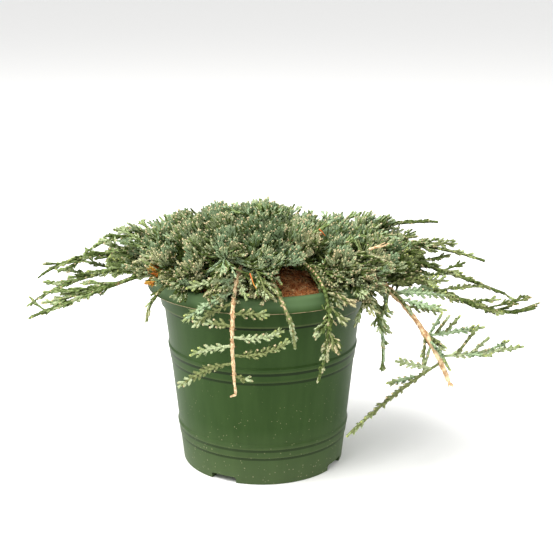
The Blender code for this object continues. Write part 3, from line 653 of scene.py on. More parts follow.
def shoot(start, way, pull, length, steps):
    """Points of a shoot that sets out along way and is drawn round towards pull."""
    points = [start.copy()]
    for i in range(steps):
        step = (way + pull * ((i + 0.5) / steps)).normalized()
        points.append(points[-1] + step * (length / steps))
    return points


def beside(along):
    """A level direction across a limb."""
    across = along.cross(UP)
    return across.normalized() if across.length > 0.05 else Vector((1, 0, 0))


def crown_height(point):
    """The crown's top above a point."""
    across = (point.x / CROWN_HALF_WIDTH) ** 2 + (point.y / CROWN_HALF_DEPTH) ** 2
    dip = sum(depth * max(1 - ((point.x - middle) / half) ** 2, 0) for middle, half, depth in DIPS)
    return CROWN_TOP - CROWN_FALL * across - dip


# %% Twigs by the solids' rule
# In the solids each of these lines is the midrib of one toothed blade. Here it is a twig with its shoots.
END_SHARE = 0.86
TWIG_STEPS = 8


def placed_twigs(stem):
    """Twigs of the sprays that show on their own."""
    for spray in SPRAYS.get(stem.name, ()) + RIM_SPRAYS.get(stem.name, ()):
        start = stem_point(stem, spray.share)
        yield shoot(start, heading(spray.bearing, spray.pitch), UP * spray.rise, spray.length, TWIG_STEPS)


def ruled_twigs(stem, chance):
    """Twigs to the left and right in turn, longest near the stem's root, or round an upright stem."""
    for i in range(stem.sprays):
        part = (i + 0.5 + chance.uniform(-0.2, 0.2)) / stem.sprays
        share = stem.bare + (END_SHARE - stem.bare) * part
        along = (stem_point(stem, share + 0.01) - stem_point(stem, share - 0.01)).normalized()
        across = beside(along) * (1 if i % 2 else -1)
        rise = UP * stem.lift
        way = along * 0.75 + across * chance.uniform(0.6, 1.0) + rise * chance.uniform(0.5, 1.2)
        length = stem.spread * (1.05 - 0.60 * part) * chance.uniform(0.85, 1.1)
        if along.z > 0.7:
            way, length = heading(GOLDEN_ANGLE * i) + rise, stem.spread * chance.uniform(0.6, 1.1)
        yield shoot(stem_point(stem, share), way.normalized(), along * 0.5 + rise, length, TWIG_STEPS)


# %% [markdown]
# ## Finer twigs and shoots
# On the real plant each twig is a fan: cords of foliage leave it on both sides every few millimetres,
# bend round until they run almost along it, and end nearly level with its tip. They carry shorter cords
# of their own. So the rule is carried on from twig to side cord to end cord, with four habits. The
# crown's fans are full and upright, those of the outer stems slim, and hanging ones short and stout.

# %% Habits
Habit = namedtuple("Habit", "side_length side_step side_angle front end_length end_step hug bushy radius")
HABITS = {
    "crown": Habit(0.0230, 0.0034, 36, 1.00, 0.0046, 0.0050, 0.85, 0.60, 0.00088),
    "inner": Habit(0.0160, 0.0030, 40, 0.90, 0.0000, 0.0036, 0.70, 1.20, 0.00115),
    "outer": Habit(0.0100, 0.0030, 32, 0.90, 0.0048, 0.0033, 0.72, 0.80, 0.00086),
    "rim": Habit(0.0115, 0.0030, 36, 0.90, 0.0056, 0.0033, 0.65, 0.70, 0.00095),
    "hanging": Habit(0.0048, 0.0023, 46, 1.00, 0.0018, 0.0040, 0.30, 0.40, 0.00118),
    "trailing": Habit(0.0066, 0.0022, 34, 0.95, 0.0028, 0.0030, 0.60, 0.70, 0.00092),
    "drooping": Habit(0.0050, 0.0019, 26, 1.00, 0.0020, 0.0026, 0.60, 0.90, 0.00095),
}
RIM_STEMS = ("front_left", "front_right", "right_front")
BARE_STEMS = ("front_hanging", "right_hanging", "front_short")


def habit_of(stem):
    """The way of growing that a stem has."""
    if stem.name in BARE_STEMS:
        return HABITS["hanging"]
    if stem.name in RIM_STEMS:
        return HABITS["rim"]
    return HABITS["crown" if stem.name.startswith("crown") else "outer"]


# %% Where foliage may be
# It stays under the crown's top and off the pot, and leaves a gap at the front where the soil shows.
ROOM = 0.0010
HEAD = -0.0010
GAP_LEFT = 0.014
GAP_RIGHT = 0.0035
GAP_TURN = 0.52
GAP_DEPTH = -0.006
GAP_HEIGHT = 0.165
GAP_SLOPE = 0.27
GAP_FLOOR = 0.158
OUTER_START = 0.105
OUTER_TOP = 0.207
OUTER_SLOPE = 0.62
OWN_HEAD = 0.030
BARE_LIPS = (
    ((-0.112, -0.125, 0.0), (-0.070, 0.060, 0.168)),
    ((-0.071, -0.125, 0.0), (0.012, -0.060, 0.1610)),
)


def clear_of_pot(point):
    """Whether a point is above the soil or outside the pot."""
    out = Vector((point.x, point.y)).length
    if point.z > POT_HEIGHT + ROOM or out > LIP_RADIUS + ROOM:
        return out > LIP_RADIUS or point.z > soil_height(out) + ROOM
    return point.z < POT_HEIGHT - LIP_HEIGHT - ROOM and out > wall_radius(point.z) + COLLAR_STEP + ROOM


def in_gap(point):
    """Whether a point is in the gap over the soil."""
    across = GAP_LEFT < point.x < GAP_RIGHT - GAP_TURN * point.y and point.y < GAP_DEPTH
    return across and GAP_FLOOR < point.z < GAP_HEIGHT - GAP_SLOPE * point.y


def at_bare_lip(point):
    """Whether a point hangs over a stretch of the lip that the photo shows bare."""
    return any(all(a < p < b for a, p, b in zip(low, point, high)) for low, high in BARE_LIPS)


def outer_height(point):
    """The top of the foliage that runs out beyond the crown."""
    return OUTER_TOP - OUTER_SLOPE * (Vector((point.x, point.y)).length - OUTER_START)


def allowed(point, head=HEAD):
    free = clear_of_pot(point) and not in_gap(point) and (head == OWN_HEAD or not at_bare_lip(point))
    return free and point.z < min(crown_height(point), outer_height(point)) + head


def kept(line, head=HEAD):
    """The stretch of a line that stays where foliage may be."""
    for i, point in enumerate(line):
        if i and not allowed(point, head):
            return line[:i]
    return line


# %% [markdown]
# ## The crown's tufts
# The crown is closed, so its solids have sprays to spots that the golden angle spreads over its surface,
# as a sunflower spreads its seeds. Here each spot gets a tuft: a handful of fans of one tint that splay
# from its middle, a little lower at its rim, with a darker gap to the next tuft. A fan's twig leaves the
# stem that lies best below it. Plain fans in the darkest tint fill the crown's inside, so that no soil
# shows; their colour is a deeper green with painted shade in it.

# %% Spots on the crown's surface
CROWN_TUFTS = 70
EDGE_TUFTS = 30
TUFT_FANS = 7
TUFT_RADIUS = 0.0130
TUFT_ROUND = 0.0060
TUFT_SPLAY = 0.50
TUFT_LIFT = 0.0030
FAN_DROP = 0.0030
FAN_TURN = 0.7
INNER_FANS = 240
INNER_DEPTH = 0.016
CROWN_DEPTH = 0.0070
EDGE_WIDTH = 0.128
RIGHT_WIDER = 1.07
EDGE_DEPTH = 0.104
EDGE_LOW = 0.158
EDGE_FROM = 0.84
SHOULDER = 0.72


def surface_point(share, bearing):
    """A point of the dome, which falls away from its shoulder to its edge."""
    side = heading(bearing)
    wide = EDGE_WIDTH * (RIGHT_WIDER if side.x > 0 else 1)
    point = Vector((side.x * wide, side.y * EDGE_DEPTH, 0)) * share
    top = crown_height(point) - CROWN_DEPTH
    fall = max(share - SHOULDER, 0) / (1 - SHOULDER)
    point.z = top - (top - EDGE_LOW) * fall**2
    return point


PEAKS = ((0.0075, 0.030), (-0.0660, 0.016), (-0.0310, 0.024))


def crown_spots(chance):
    """The tufts' middles: some peaks, then spread evenly over the dome, and more down its steep edge."""
    for x, y in PEAKS:
        place = Vector((x, y, 0))
        yield place + UP * (crown_height(place) - CROWN_DEPTH)
    for i in range(CROWN_TUFTS):
        yield surface_point(((i + 0.5) / CROWN_TUFTS) ** 0.5, GOLDEN_ANGLE * i + 20)
    for i in range(EDGE_TUFTS):
        yield surface_point(chance.uniform(EDGE_FROM, 1.02), GOLDEN_ANGLE * i + chance.uniform(-10, 10))


# %% A twig to each spot
BEST_TWIG = 0.034
LONGEST_TWIG = 0.048
SHORTEST_TWIG = 0.016
TRACES = [
    (stem, share, stem_point(stem, share))
    for stem in STEMS
    for share in (0.02 * i for i in range(3, 50))
]
TRACE_PLACES = np.array([tuple(place) for _, _, place in TRACES])


def way_at(spot):
    """The way foliage points at a spot: up on top of the crown, outwards at its edge, down below it."""
    outward = Vector((spot.x / EDGE_WIDTH, spot.y / EDGE_DEPTH, 0))
    high = min(max((spot.z - EDGE_LOW) / (CROWN_TOP - EDGE_LOW), 0), 1)
    return outward * (0.95 - 0.60 * high) + UP * min(3.4 * high - 0.45, 1.2)


def twig_to(spot, last, chance):
    """The line of a twig that reaches a spot from the stem that lies best for it, or None."""
    run = np.array(spot) - TRACE_PLACES
    length = np.linalg.norm(run, axis=1)
    outward = Vector((spot.x, spot.y, 0)).normalized()
    ahead = (run @ np.array(outward)) / length
    cost = np.abs(length - BEST_TWIG) + 0.02 * np.maximum(0.25 - ahead, 0)
    cost[(length > LONGEST_TWIG) | (length < SHORTEST_TWIG)] = 1
    cost += np.array([chance.uniform(0, 0.004) for _ in TRACES])
    best = int(cost.argmin())
    if cost[best] > 0.5:
        return None
    start = TRACES[best][2]
    bend = spot - last * (length[best] * 0.5)
    shares = [i / TWIG_STEPS for i in range(TWIG_STEPS + 1)]
    return [start * (1 - t) ** 2 + bend * 2 * t * (1 - t) + spot * t * t for t in shares]


# %% Twigs of the outer stems
OUTER_SPACING = 0.0019
OUTER_THINNING = 0.0080
OUTER_FROM = 0.080
RIM_FROM = 0.045
OUTER_LONGEST = 0.041
OUTER_SHORTEST = 0.0058
OUTER_TAPER = 2.3


def outer_twigs(stem, habit, chance):
    """Twigs all along a stem from where it leaves the crown, shorter towards its tip."""
    places = [stem_point(stem, i / 80) for i in range(81)]
    nearest = RIM_FROM if habit is HABITS["rim"] else OUTER_FROM
    run = 0.0
    for a, b in zip(places, places[1:]):
        run += (b - a).length
        out = Vector((b.x, b.y)).length
        part = (out - nearest) / (stem.reach - nearest)
        if part < 0 or run < OUTER_SPACING + OUTER_THINNING * part:
            continue
        run = 0.0
        along = (b - a).normalized()
        side = beside(along) * (1 if chance.random() < 0.5 else -1)
        way = along + side * chance.uniform(0.15, 0.80) * (1 - 0.5 * part) + UP * chance.uniform(-0.45, 0.30)
        size = OUTER_SHORTEST + (OUTER_LONGEST - OUTER_SHORTEST) * max(1 - part, 0) ** OUTER_TAPER
        pull = along * 0.8 + UP * (stem.lift if habit is HABITS["outer"] else -0.4)
        yield shoot(b, way.normalized(), pull, size * chance.uniform(0.55, 1.05), TWIG_STEPS)


# %% [markdown]
# A cord is kept as one row of numbers: its root, the way it sets out, the way it ends, its length and
# its radius, under the name of its tint. Rows are cheap, so the whole plant is grown first, and all
# its leaves are then made at once from arrays.

# %% Tints by place
# The darkest tint is a deeper green with painted shade in it. It is dealt where the foliage stands in shade: at the
# roots of the fans, inside the crown, at the rim, on the outer stems, and most on the right side, which faces away from
# the key lamp.
TINTS = {
    "crown": (("green", "blue"), ("blue", "blue"), ("green", "grey"), ("blue", "grey"), ("green", "blue")),
    "front": (("olive", "grey"), ("blue", "grey"), ("green", "pale"), ("grey", "pale"), ("blue", "blue")),
    "rim": (("deep", "grey"), ("olive", "grey"), ("deep", "grey"), ("olive", "pale"), ("deep", "grey"), ("olive", "straw")),
    "left": (("deep", "green"), ("deep", "green"), ("deep", "grey"), ("green", "grey"), ("green", "light")),
    "trailing": (("olive", "grey"), ("deep", "olive"), ("olive", "grey"), ("green", "grey")),
    "right": (("deep", "olive"), ("deep", "deep"), ("deep", "grey"), ("olive", "olive"), ("olive", "light")),
    "hanging": (("olive", "light"), ("blue", "light"), ("grey", "light"), ("olive", "grey")),
    "dead": (("rust", "ochre"), ("ochre", "rust")),
}
DEAD_PLACE = Vector((-0.084, -0.060, 0.171))
DEAD_REACH = 0.0095


def tints_at(point, habit, chance):
    """The tints of a plume's body and of its ends, by where it grows."""
    if (point - DEAD_PLACE).length < DEAD_REACH:
        return chance.choice(TINTS["dead"])
    if habit is HABITS["hanging"]:
        return chance.choice(TINTS["hanging"])
    out = Vector((point.x, point.y)).length
    if out > 0.118 and abs(point.x) > 0.10:
        return chance.choice(TINTS["left" if point.x < 0 else "right"])
    if point.y < -0.070 and point.z < 0.180:
        return chance.choice(TINTS["rim"])
    if point.y < -0.045 and point.z < 0.202:
        return chance.choice(TINTS["front"])
    return chance.choice(TINTS["crown"])


# %% Growing the rows
INNER_SHARE = 0.52
PULL = 1.3
SLEEVE = 0.0005
SLEEVE_STEP = 0.005


def point_on(line, place):
    """The point and the direction at a place along a line, in steps."""
    k = min(int(place), len(line) - 2)
    return line[k].lerp(line[k + 1], place - k), (line[k + 1] - line[k]).normalized()


def turned_away(along, side, angle, lift):
    """A direction turned from along towards side by an angle in degrees, and lifted a little."""
    return (along * cos(radians(angle)) + side * sin(radians(angle)) + UP * lift).normalized()


def facing(line):
    """The direction across a line that shows its fan's broad side to someone in front of the pot's wall."""
    along = (line[-1] - line[0]).normalized()
    across = along.cross(Vector((line[0].x, line[0].y, 0)).normalized())
    return across.normalized() if across.length > 0.2 else beside(along)


class Growth:
    """All cords grown so far, by tint, their ends, and the woody twigs that carry them."""

    def __init__(self):
        self.cords = {}
        self.ends = []
        self.wood = []
        self.head = HEAD

    def cord(self, tint, root, first, last, length, radius, bud=True):
        """A cord that ends in a bud, kept if its tip may be there. Returns whether it was."""
        tip = root + (first + last) * (length / 2)
        middle = root + (first * 0.375 + last * 0.125) * length
        if in_gap(middle) or not allowed(tip, self.head):
            return False
        self.cords.setdefault(tint, []).append((*root, *first, *last, length, radius))
        if bud:
            self.ends.append((tint, (*tip, *last, radius)))
        return True

    def clad(self, line, tint, radius):
        """A green axis along a line."""
        rows = self.cords.setdefault(tint, [])
        for a, b in zip(line, line[1:]):
            way = (b - a).normalized()
            rows.append((*a, *way, *way, (b - a).length, radius))

    def sleeve(self, stem, first, tint):
        """Scale leaves pressed to a young stem itself, from a share of its length on."""
        steps = round((1 - first) * stem.reach / SLEEVE_STEP)
        for i in range(steps):
            low, high = (first + (1 - first) * (i + k) / steps for k in (0, 1))
            self.clad([stem_point(stem, low), stem_point(stem, high)], tint, stem_radius(stem, low) + SLEEVE)

    def side_cords(self, line, flat, habit, tints, chance, first, pull):
        """Cords to the left and right along a line, each with shorter ones. A pull turns them all one way."""
        length = sum((b - a).length for a, b in zip(line, line[1:]))
        count = max(int(length * (1 - first) / habit.side_step), 2)
        for i in range(count):
            part = first + (0.97 - first) * (i + chance.uniform(0.2, 0.8)) / count
            root, along = point_on(line, part * (len(line) - 1))
            side = Matrix.Rotation(chance.uniform(-habit.bushy, habit.bushy), 3, along) @ flat
            side = side * (1 if i % 2 else -1)
            room = (line[-1] - root).dot(pull) if pull else length * (1 - part)
            reach = min(habit.side_length * chance.uniform(0.7, 1.1), habit.front * room + 0.003)
            angle = habit.side_angle * chance.uniform(0.75, 1.2)
            start = turned_away(along, side, angle, 0.0)
            end = turned_away(along, side, angle * (1 - habit.hug), 0.05)
            if pull:
                end = (end + pull * PULL).normalized()
            # The cords near a fan's root take the darkest tint: a deeper green with painted shade for the crowded lower
            # part of the fan.
            inner = 0 if habit is HABITS["hanging"] else INNER_SHARE
            tint = tints[1] if part > 0.75 else tints[0] if part > inner else "deep"
            if self.cord(tint, root, start, end, reach, habit.radius, habit.end_length > 0):
                self.end_cords(root, start, end, reach, habit, tints, chance)

    def end_cords(self, root, first, last, length, habit, tints, chance):
        """The last, shortest cords along a side cord."""
        count = int((length - 0.0025) / habit.end_step) if habit.end_length else 0
        across = first.cross(last)
        across = across.normalized() if across.length > 0.02 else beside(first)
        for i in range(count):
            part = (i + chance.uniform(0.5, 0.9)) / (count + 0.5)
            place = root + first * (length * part) + (last - first) * (length * part * part / 2)
            along = first.lerp(last, part).normalized()
            side = Matrix.Rotation(chance.uniform(-0.6, 0.6), 3, along) @ across.cross(along)
            side = side.normalized() * (1 if i % 2 else -1)
            reach = min(habit.end_length * chance.uniform(0.7, 1.1), habit.front * length * (1 - part) + 0.0022)
            angle = habit.side_angle * chance.uniform(0.7, 1.05)
            start = turned_away(along, side, angle, 0.0)
            end = turned_away(along, side, angle * (1 - habit.hug), 0.04)
            self.cord(tints[1], place, start, end, reach, habit.radius * 0.94)

    def fan(self, line, habit, chance, wood=0.3, flat=None, tints=None, pull=None):
        """A twig with its cords: bare and brown at its root, and green from there on."""
        tints = tints or tints_at(line[-1], habit, chance)
        first = int(wood * (len(line) - 1))
        self.wood.append((line[: first + 2], TWIG_RADIUS * 0.6))
        self.clad(line[first:], tints[0], habit.radius * 1.05)
        along = (line[-1] - line[-2]).normalized()
        self.cord(tints[1], line[-1], along, along, 0.004, habit.radius)
        flat = beside((line[-1] - line[0]).normalized()) if flat is None else flat
        self.side_cords(line, flat, habit, tints, chance, wood * 0.8 + 0.05, pull)


# %% Growing along the stems
GREEN_FROM = 0.10
CLOSED_SHARE = 0.92
SLIM_FROM = 0.140
TIP_TINTS = {"front_left": ("grey", "pale")}
SLEEVE_FROM = {"front_right": 0.22, "right_front": 0.25, "front_left": 0.40, "front_short": 0.30}
Shoot = namedtuple("Shoot", "part bearing pitch length rise")
SHOOTS = {
    ("right_hanging", 1): (
        Shoot(0.04, 86, 62, 0.016, 0.0),
        Shoot(0.16, 84, 56, 0.015, 0.0),
        Shoot(0.34, 88, 50, 0.014, 0.0),
        Shoot(0.02, 60, -20, 0.013, -0.2),
    ),
    ("right_hanging", 3): (
        Shoot(0.22, 84, 54, 0.024, 0.1),
        Shoot(0.40, 86, 42, 0.016, 0.1),
        Shoot(0.62, 88, 30, 0.014, 0.0),
        Shoot(0.34, 60, 6, 0.018, 0.0),
    ),
    ("right_hanging", 4): (Shoot(0.10, -84, 14, 0.026, 0.0), Shoot(0.22, -88, -12, 0.022, 0.0)),
    ("left_low", 0): (Shoot(0.30, -84, -4, 0.036, 0.0), Shoot(0.45, -76, -16, 0.030, 0.0)),
}


def wood_share(habit):
    """How much of a twig is bare wood."""
    return 0.12 if habit in (HABITS["hanging"], HABITS["crown"]) else 0.22


growth = Growth()
for stem in STEMS:
    habit = habit_of(stem)
    chance = random.Random(f"{SEED} {stem.name}")
    fine = random.Random(f"{SEED} fine {stem.name}")
    growth.head = OWN_HEAD
    for i, line in enumerate(placed_twigs(stem)):
        line = kept(line, OWN_HEAD)
        if len(line) < 4:
            continue
        slim = HABITS["trailing"] if habit is HABITS["rim"] else habit
        tints = fine.choice(TINTS["trailing"]) if habit is HABITS["rim"] else None
        growth.fan(line, slim, fine, wood_share(habit), facing(line), tints)
        for sub in SHOOTS.get((stem.name, i), ()):
            start = point_on(line, sub.part * (len(line) - 1))[0]
            twig = shoot(start, heading(sub.bearing, sub.pitch), UP * sub.rise, sub.length, TWIG_STEPS)
            growth.fan(twig, habit, fine, 0.0, facing(twig))
    if habit in (HABITS["outer"], HABITS["rim"]):
        tip_line = [stem_point(stem, 0.60 + 0.34 * i / 20) for i in range(21)]
        tip_line = [p for p in tip_line if Vector((p.x, p.y)).length > GREEN_FROM]
        if len(tip_line) > 3:
            growth.fan(tip_line, HABITS["trailing"], fine, 0.0, None, TIP_TINTS.get(stem.name))
    if stem.name == "front_short":
        droop = [stem_point(stem, 0.40 + 0.58 * i / 20) for i in range(21)]
        growth.fan(droop, HABITS["drooping"], fine, 0.0, facing(droop), ("olive", "grey"))
    if habit is HABITS["outer"] or stem.name in SLEEVE_FROM:
        growth.sleeve(stem, SLEEVE_FROM.get(stem.name, 0.50), "olive" if stem.name in ("front_short", "front_left") else "deep")
    growth.head = HEAD
    lines = list(ruled_twigs(stem, chance))
    if habit is not HABITS["hanging"]:
        lines += list(outer_twigs(stem, habit, fine))
    for line in lines:
        line = kept(line)
        if len(line) > 3:
            end = line[-1]
            inside = (end.x / EDGE_WIDTH) ** 2 + (end.y / EDGE_DEPTH) ** 2 < CLOSED_SHARE**2
            pull = (way_at(end).normalized() + (end - line[-2]).normalized() * 0.3).normalized() if inside else None
            slim = habit is HABITS["outer"] and Vector((end.x, end.y)).length > SLIM_FROM
            grown = HABITS["crown" if inside else "trailing"] if inside or slim else habit
            growth.fan(line, grown, fine, wood_share(habit), pull=pull)

# %% Growing the crown
OTHER_TINT = 0.45
crown_chance = random.Random(f"{SEED} crown")
for spot in crown_spots(crown_chance):
    lean = (way_at(spot).normalized() + heading(crown_chance.uniform(0, 360)) * 0.25).normalized()
    spot = spot + lean * crown_chance.uniform(-TUFT_LIFT, TUFT_LIFT)
    across = lean.orthogonal().normalized()
    tuft_tints = tints_at(spot, HABITS["crown"], crown_chance)
    spin = crown_chance.uniform(0, 2 * pi)
    for i in range(TUFT_FANS):
        far = ((i + 0.3) / TUFT_FANS) ** 0.5 * crown_chance.uniform(0.85, 1.10)
        away = Matrix.Rotation(spin + radians(GOLDEN_ANGLE) * i, 3, lean) @ across
        drop = TUFT_ROUND * far**2 + crown_chance.uniform(0, FAN_DROP)
        end = spot + away * (TUFT_RADIUS * far) - lean * drop
        way = (lean + away * (TUFT_SPLAY * far)).normalized()
        flat = Matrix.Rotation(crown_chance.uniform(-FAN_TURN, FAN_TURN), 3, way) @ way.cross(away).normalized()
        line = twig_to(end, way, crown_chance)
        other = crown_chance.random() < OTHER_TINT
        tints = tints_at(end, HABITS["crown"], crown_chance) if other else tuft_tints
        if line and not any(in_gap(point) or at_bare_lip(point) for point in line):
            growth.fan(line, HABITS["crown"], crown_chance, 0.12, flat, tints, way)

# Fans inside the crown take the darkest tint only: a deeper green with painted shade for the crown's dark inside.
for i in range(INNER_FANS):
    spot = surface_point(0.97 * ((i + 0.5) / INNER_FANS) ** 0.5, GOLDEN_ANGLE * i + 60)
    lean = way_at(spot).normalized()
    spot = spot - lean * INNER_DEPTH
    line = twig_to(spot, lean, crown_chance)
    if line and clear_of_pot(spot) and not any(in_gap(point) or at_bare_lip(point) for point in line):
        growth.fan(line, HABITS["inner"], crown_chance, 0.1, None, ("deep", "deep"), lean)
print("cords:", {tint: len(rows) for tint, rows in growth.cords.items()}, "ends:", len(growth.ends))

# %% [markdown]
# ## Scale leaves
# A juniper's scale leaf is a small diamond with a keel, pressed to the shoot, with its point a little
# free. Two faces make one: they meet along the keel. Leaves stand in pairs, and each pair is turned a
# quarter against the last, so that together they close the shoot all round. A slim three-sided core
# fills the shoot. Numpy works out every leaf of one tint in one go.

# %% Leaves from arrays
LEAF_STEP = 0.0019
LEAF_LENGTH = 0.0033
CORE_STEP = 0.0055
CORE_SIDES = 3


def unit(vectors):
    """Vectors of length one."""
    return vectors / np.maximum(np.linalg.norm(vectors, axis=1, keepdims=True), 1e-9)


def sides_of(along, tilt):
    """Two directions across each of many directions, turned by tilt."""
    guide = np.where(np.abs(along[:, 2:3]) < 0.8, [[0.0, 0.0, 1.0]], [[1.0, 0.0, 0.0]])
    one = unit(np.cross(along, guide))
    two = np.cross(along, one)
    c, s = np.cos(tilt)[:, None], np.sin(tilt)[:, None]
    return one * c + two * s, two * c - one * s


def spread_along(rows, step, extra):
    """For every cord, places at even steps: which cord, its share, its point and its direction."""
    root, first, last, length = rows[:, :3], rows[:, 3:6], rows[:, 6:9], rows[:, 9]
    count = np.maximum(np.round(length / step).astype(int), 1) + extra
    index = np.repeat(np.arange(len(rows)), count)
    number = np.arange(count.sum()) - np.repeat(np.cumsum(count) - count, count)
    share = (number / (count - extra)[index])[:, None]
    place = root[index] + (first[index] * share + (last - first)[index] * share**2 / 2) * length[index][:, None]
    along = unit(first[index] + (last - first)[index] * share)
    return index, number, share, place, along


def cores(rows, tilt):
    """Points and faces of the slim cores of all cords."""
    index, number, share, place, along = spread_along(rows, CORE_STEP, 1)
    one, two = sides_of(along, tilt[index])
    radius = rows[:, 10][index][:, None] * 0.92
    angles = [2 * pi * i / CORE_SIDES for i in range(CORE_SIDES)]
    points = np.stack([place + (one * cos(a) + two * sin(a)) * radius for a in angles], axis=1).reshape(-1, 3)
    ring = np.flatnonzero(np.append(number[1:] > 0, False)) * CORE_SIDES
    faces = []
    for i in range(CORE_SIDES):
        a, b = i, (i + 1) % CORE_SIDES
        low_a, low_b, high_a, high_b = ring + a, ring + b, ring + CORE_SIDES + a, ring + CORE_SIDES + b
        faces += [np.stack([low_a, high_b, low_b], 1), np.stack([low_a, high_a, high_b], 1)]
    return points, np.concatenate(faces)


def leaves(rows, tilt):
    """Points and faces of the crossed pairs of scale leaves on all cords."""
    index, number, share, place, along = spread_along(rows, LEAF_STEP, 0)
    one, two = sides_of(along, tilt[index] + (number % 2) * pi / 2)
    radius = rows[:, 10][index][:, None]
    size = LEAF_LENGTH * np.minimum(1, rows[:, 9][index] / (2.5 * LEAF_STEP))[:, None]
    parts = []
    for sign in (1, -1):
        out = one * sign
        parts.append(place + out * radius * 0.80)
        parts.append(place + along * size * 0.42 + out * radius * 0.62 + two * radius * 0.88)
        parts.append(place + along * size + out * radius * 1.02)
        parts.append(place + along * size * 0.42 + out * radius * 0.62 - two * radius * 0.88)
    points = np.stack(parts, axis=1).reshape(-1, 3)
    base = np.arange(len(place) * 2)[:, None] * 4
    flip = np.tile([0, 1], len(place))[:, None]
    faces = [np.where(flip, base + [0, 2, 1], base + [0, 1, 2]), np.where(flip, base + [0, 3, 2], base + [0, 2, 3])]
    return points, np.concatenate(faces)


def foliage_mesh(name, rows):
    """The cores and leaves of all cords in rows as one mesh."""
    rows = np.array(rows)
    tilt = np.random.default_rng(SEED).uniform(0, pi, len(rows))
    core_points, core_faces = cores(rows, tilt)
    leaf_points, leaf_faces = leaves(rows, tilt)
    faces = np.concatenate([core_faces, leaf_faces + len(core_points)])
    return mesh_from_arrays(name, np.concatenate([core_points, leaf_points]), faces, smooth=True)


# %% [markdown]
# ## Foliage finishes
# The leaves have a waxy bloom, so they are dull and greyish where they are old and greener inside,
# and the growing ends are bleached to beige. A plant shows these as whole sprays of one tint, so each
# spray was given one of a few plain colours. The darkest of them is a deeper green with painted shade
# in it, for the crown's inside, the roots of the fans and the side away from the key lamp. A slight
# mottling keeps a spray from looking painted.

# %% Finishes of the foliage


def leaf_finish(name, colour, other, roughness=0.62):
    """A leaf surface of one tint with a slight mottling."""
    made, tree, shader, place = new_finish(name, roughness)
    mottle = between(tree, grain(tree, place, 2.5, 2), 0.35, 0.65)
    tree.links.new(blend(tree, mottle, colour, other), shader.inputs["Base Color"])
    shader.inputs["Specular IOR Level"].default_value = 0.2
    return made


SHADES = {
    "blue": ("#8ca37c", "#a5b891"),
    "green": ("#768a50", "#90a168"),
    "olive": ("#677141", "#7f8656"),
    "grey": ("#98a67a", "#afb991"),
    "deep": ("#475725", "#5d6d35"),
    "light": ("#84925d", "#98a474"),
    "pale": ("#a8ab7f", "#babc95"),
    "straw": ("#a39d74", "#b6ad86"),
    "ochre": ("#c79a3e", "#d4ab55"),
    "rust": ("#b9692c", "#c98542"),
}
MOST_TRIANGLES = 180_000
foliage_nodes = [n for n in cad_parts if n.startswith("foliage_")]


def cost_of(row):
    """The triangles that a cord takes."""
    return 4 * max(round(row[9] / LEAF_STEP), 1) + 2 * CORE_SIDES * max(round(row[9] / CORE_STEP), 1)


def split(rows, most):
    """Rows in runs that stay under a number of triangles."""
    runs, run, total = [], [], 0
    for row in rows:
        if total + cost_of(row) > most:
            runs.append(run)
            run, total = [], 0
        run.append(row)
        total += cost_of(row)
    return runs + [run]


for tint, (colour, other) in SHADES.items():
    finish = leaf_finish(f"scale_leaves_{tint}", colour, other)
    for i, run in enumerate(split(growth.cords.get(tint, []), MOST_TRIANGLES)):
        if run:
            name = f"leaves_{tint}_{i + 1}"
            piece(name, foliage_mesh(name, run), finish, foliage_nodes)

# %% Growing ends
END_SIDES = 3
END_LENGTH = 0.0024
END_SHARES = {"blue": 0.34, "green": 0.34, "olive": 0.40, "grey": 0.46, "deep": 0.10, "light": 0.60, "pale": 0.60, "straw": 0.60}


def end_mesh(name, rows):
    """A blunt bud at the end of each cord."""
    rows = np.array(rows)
    tip, along, radius = rows[:, :3], unit(rows[:, 3:6]), rows[:, 6:7]
    one, two = sides_of(along, np.zeros(len(rows)))
    parts = [tip - along * END_LENGTH * 0.5]
    for i in range(END_SIDES):
        a = 2 * pi * i / END_SIDES
        parts.append(tip + along * END_LENGTH * 0.25 + (one * cos(a) + two * sin(a)) * radius * 1.02)
    parts.append(tip + along * END_LENGTH * 0.7)
    points = np.stack(parts, axis=1).reshape(-1, 3)
    base = np.arange(len(rows))[:, None] * (END_SIDES + 2)
    faces = []
    for i in range(END_SIDES):
        a, b = 1 + i, 1 + (i + 1) % END_SIDES
        faces += [base + [0, b, a], base + [a, b, END_SIDES + 1]]
    return mesh_from_arrays(name, points, np.concatenate(faces))


deal = random.Random(f"{SEED} ends")
groups = {"beige": [], "sand": [], "lime": []}
for tint, row in growth.ends:
    if deal.random() < END_SHARES.get(tint, 0):
        groups["lime" if tint == "light" else "beige" if deal.random() < 0.5 else "sand"].append(row)
END_COLOURS = {"beige": ("#bca982", "#cdbc96"), "sand": ("#a5a377", "#b6b38a"), "lime": ("#a3ad5e", "#b4bb72")}
for tint, colours in END_COLOURS.items():
    finish = leaf_finish(f"growing_ends_{tint}", *colours, roughness=0.7)
    piece(f"ends_{tint}", end_mesh(f"ends_{tint}", groups[tint]), finish, foliage_nodes)

# %% [markdown]
# ## Wood
# The trunk and boughs have thin bark that peels in long papery strips. A limb is a ring of vertices
# that is extruded from point to point, so that it turns and tapers with its stem. Ridges are then
# raised on it by a noise.

# %% A limb as a ring that is extruded
LIMB_SIDES = 12
LIMB_STEP = 0.0025


def frames_along(points):
    """A turning frame at each point, carried along without twist."""
    ways = [(b - a).normalized() for a, b in zip(points, points[1:])]
    ways.append(ways[-1])
    turn = ways[0].to_track_quat("Z", "Y").to_matrix()
    turns = [turn]
    for before, after in zip(ways, ways[1:]):
        turn = before.rotation_difference(after).to_matrix() @ turn
        turns.append(turn)
    return turns


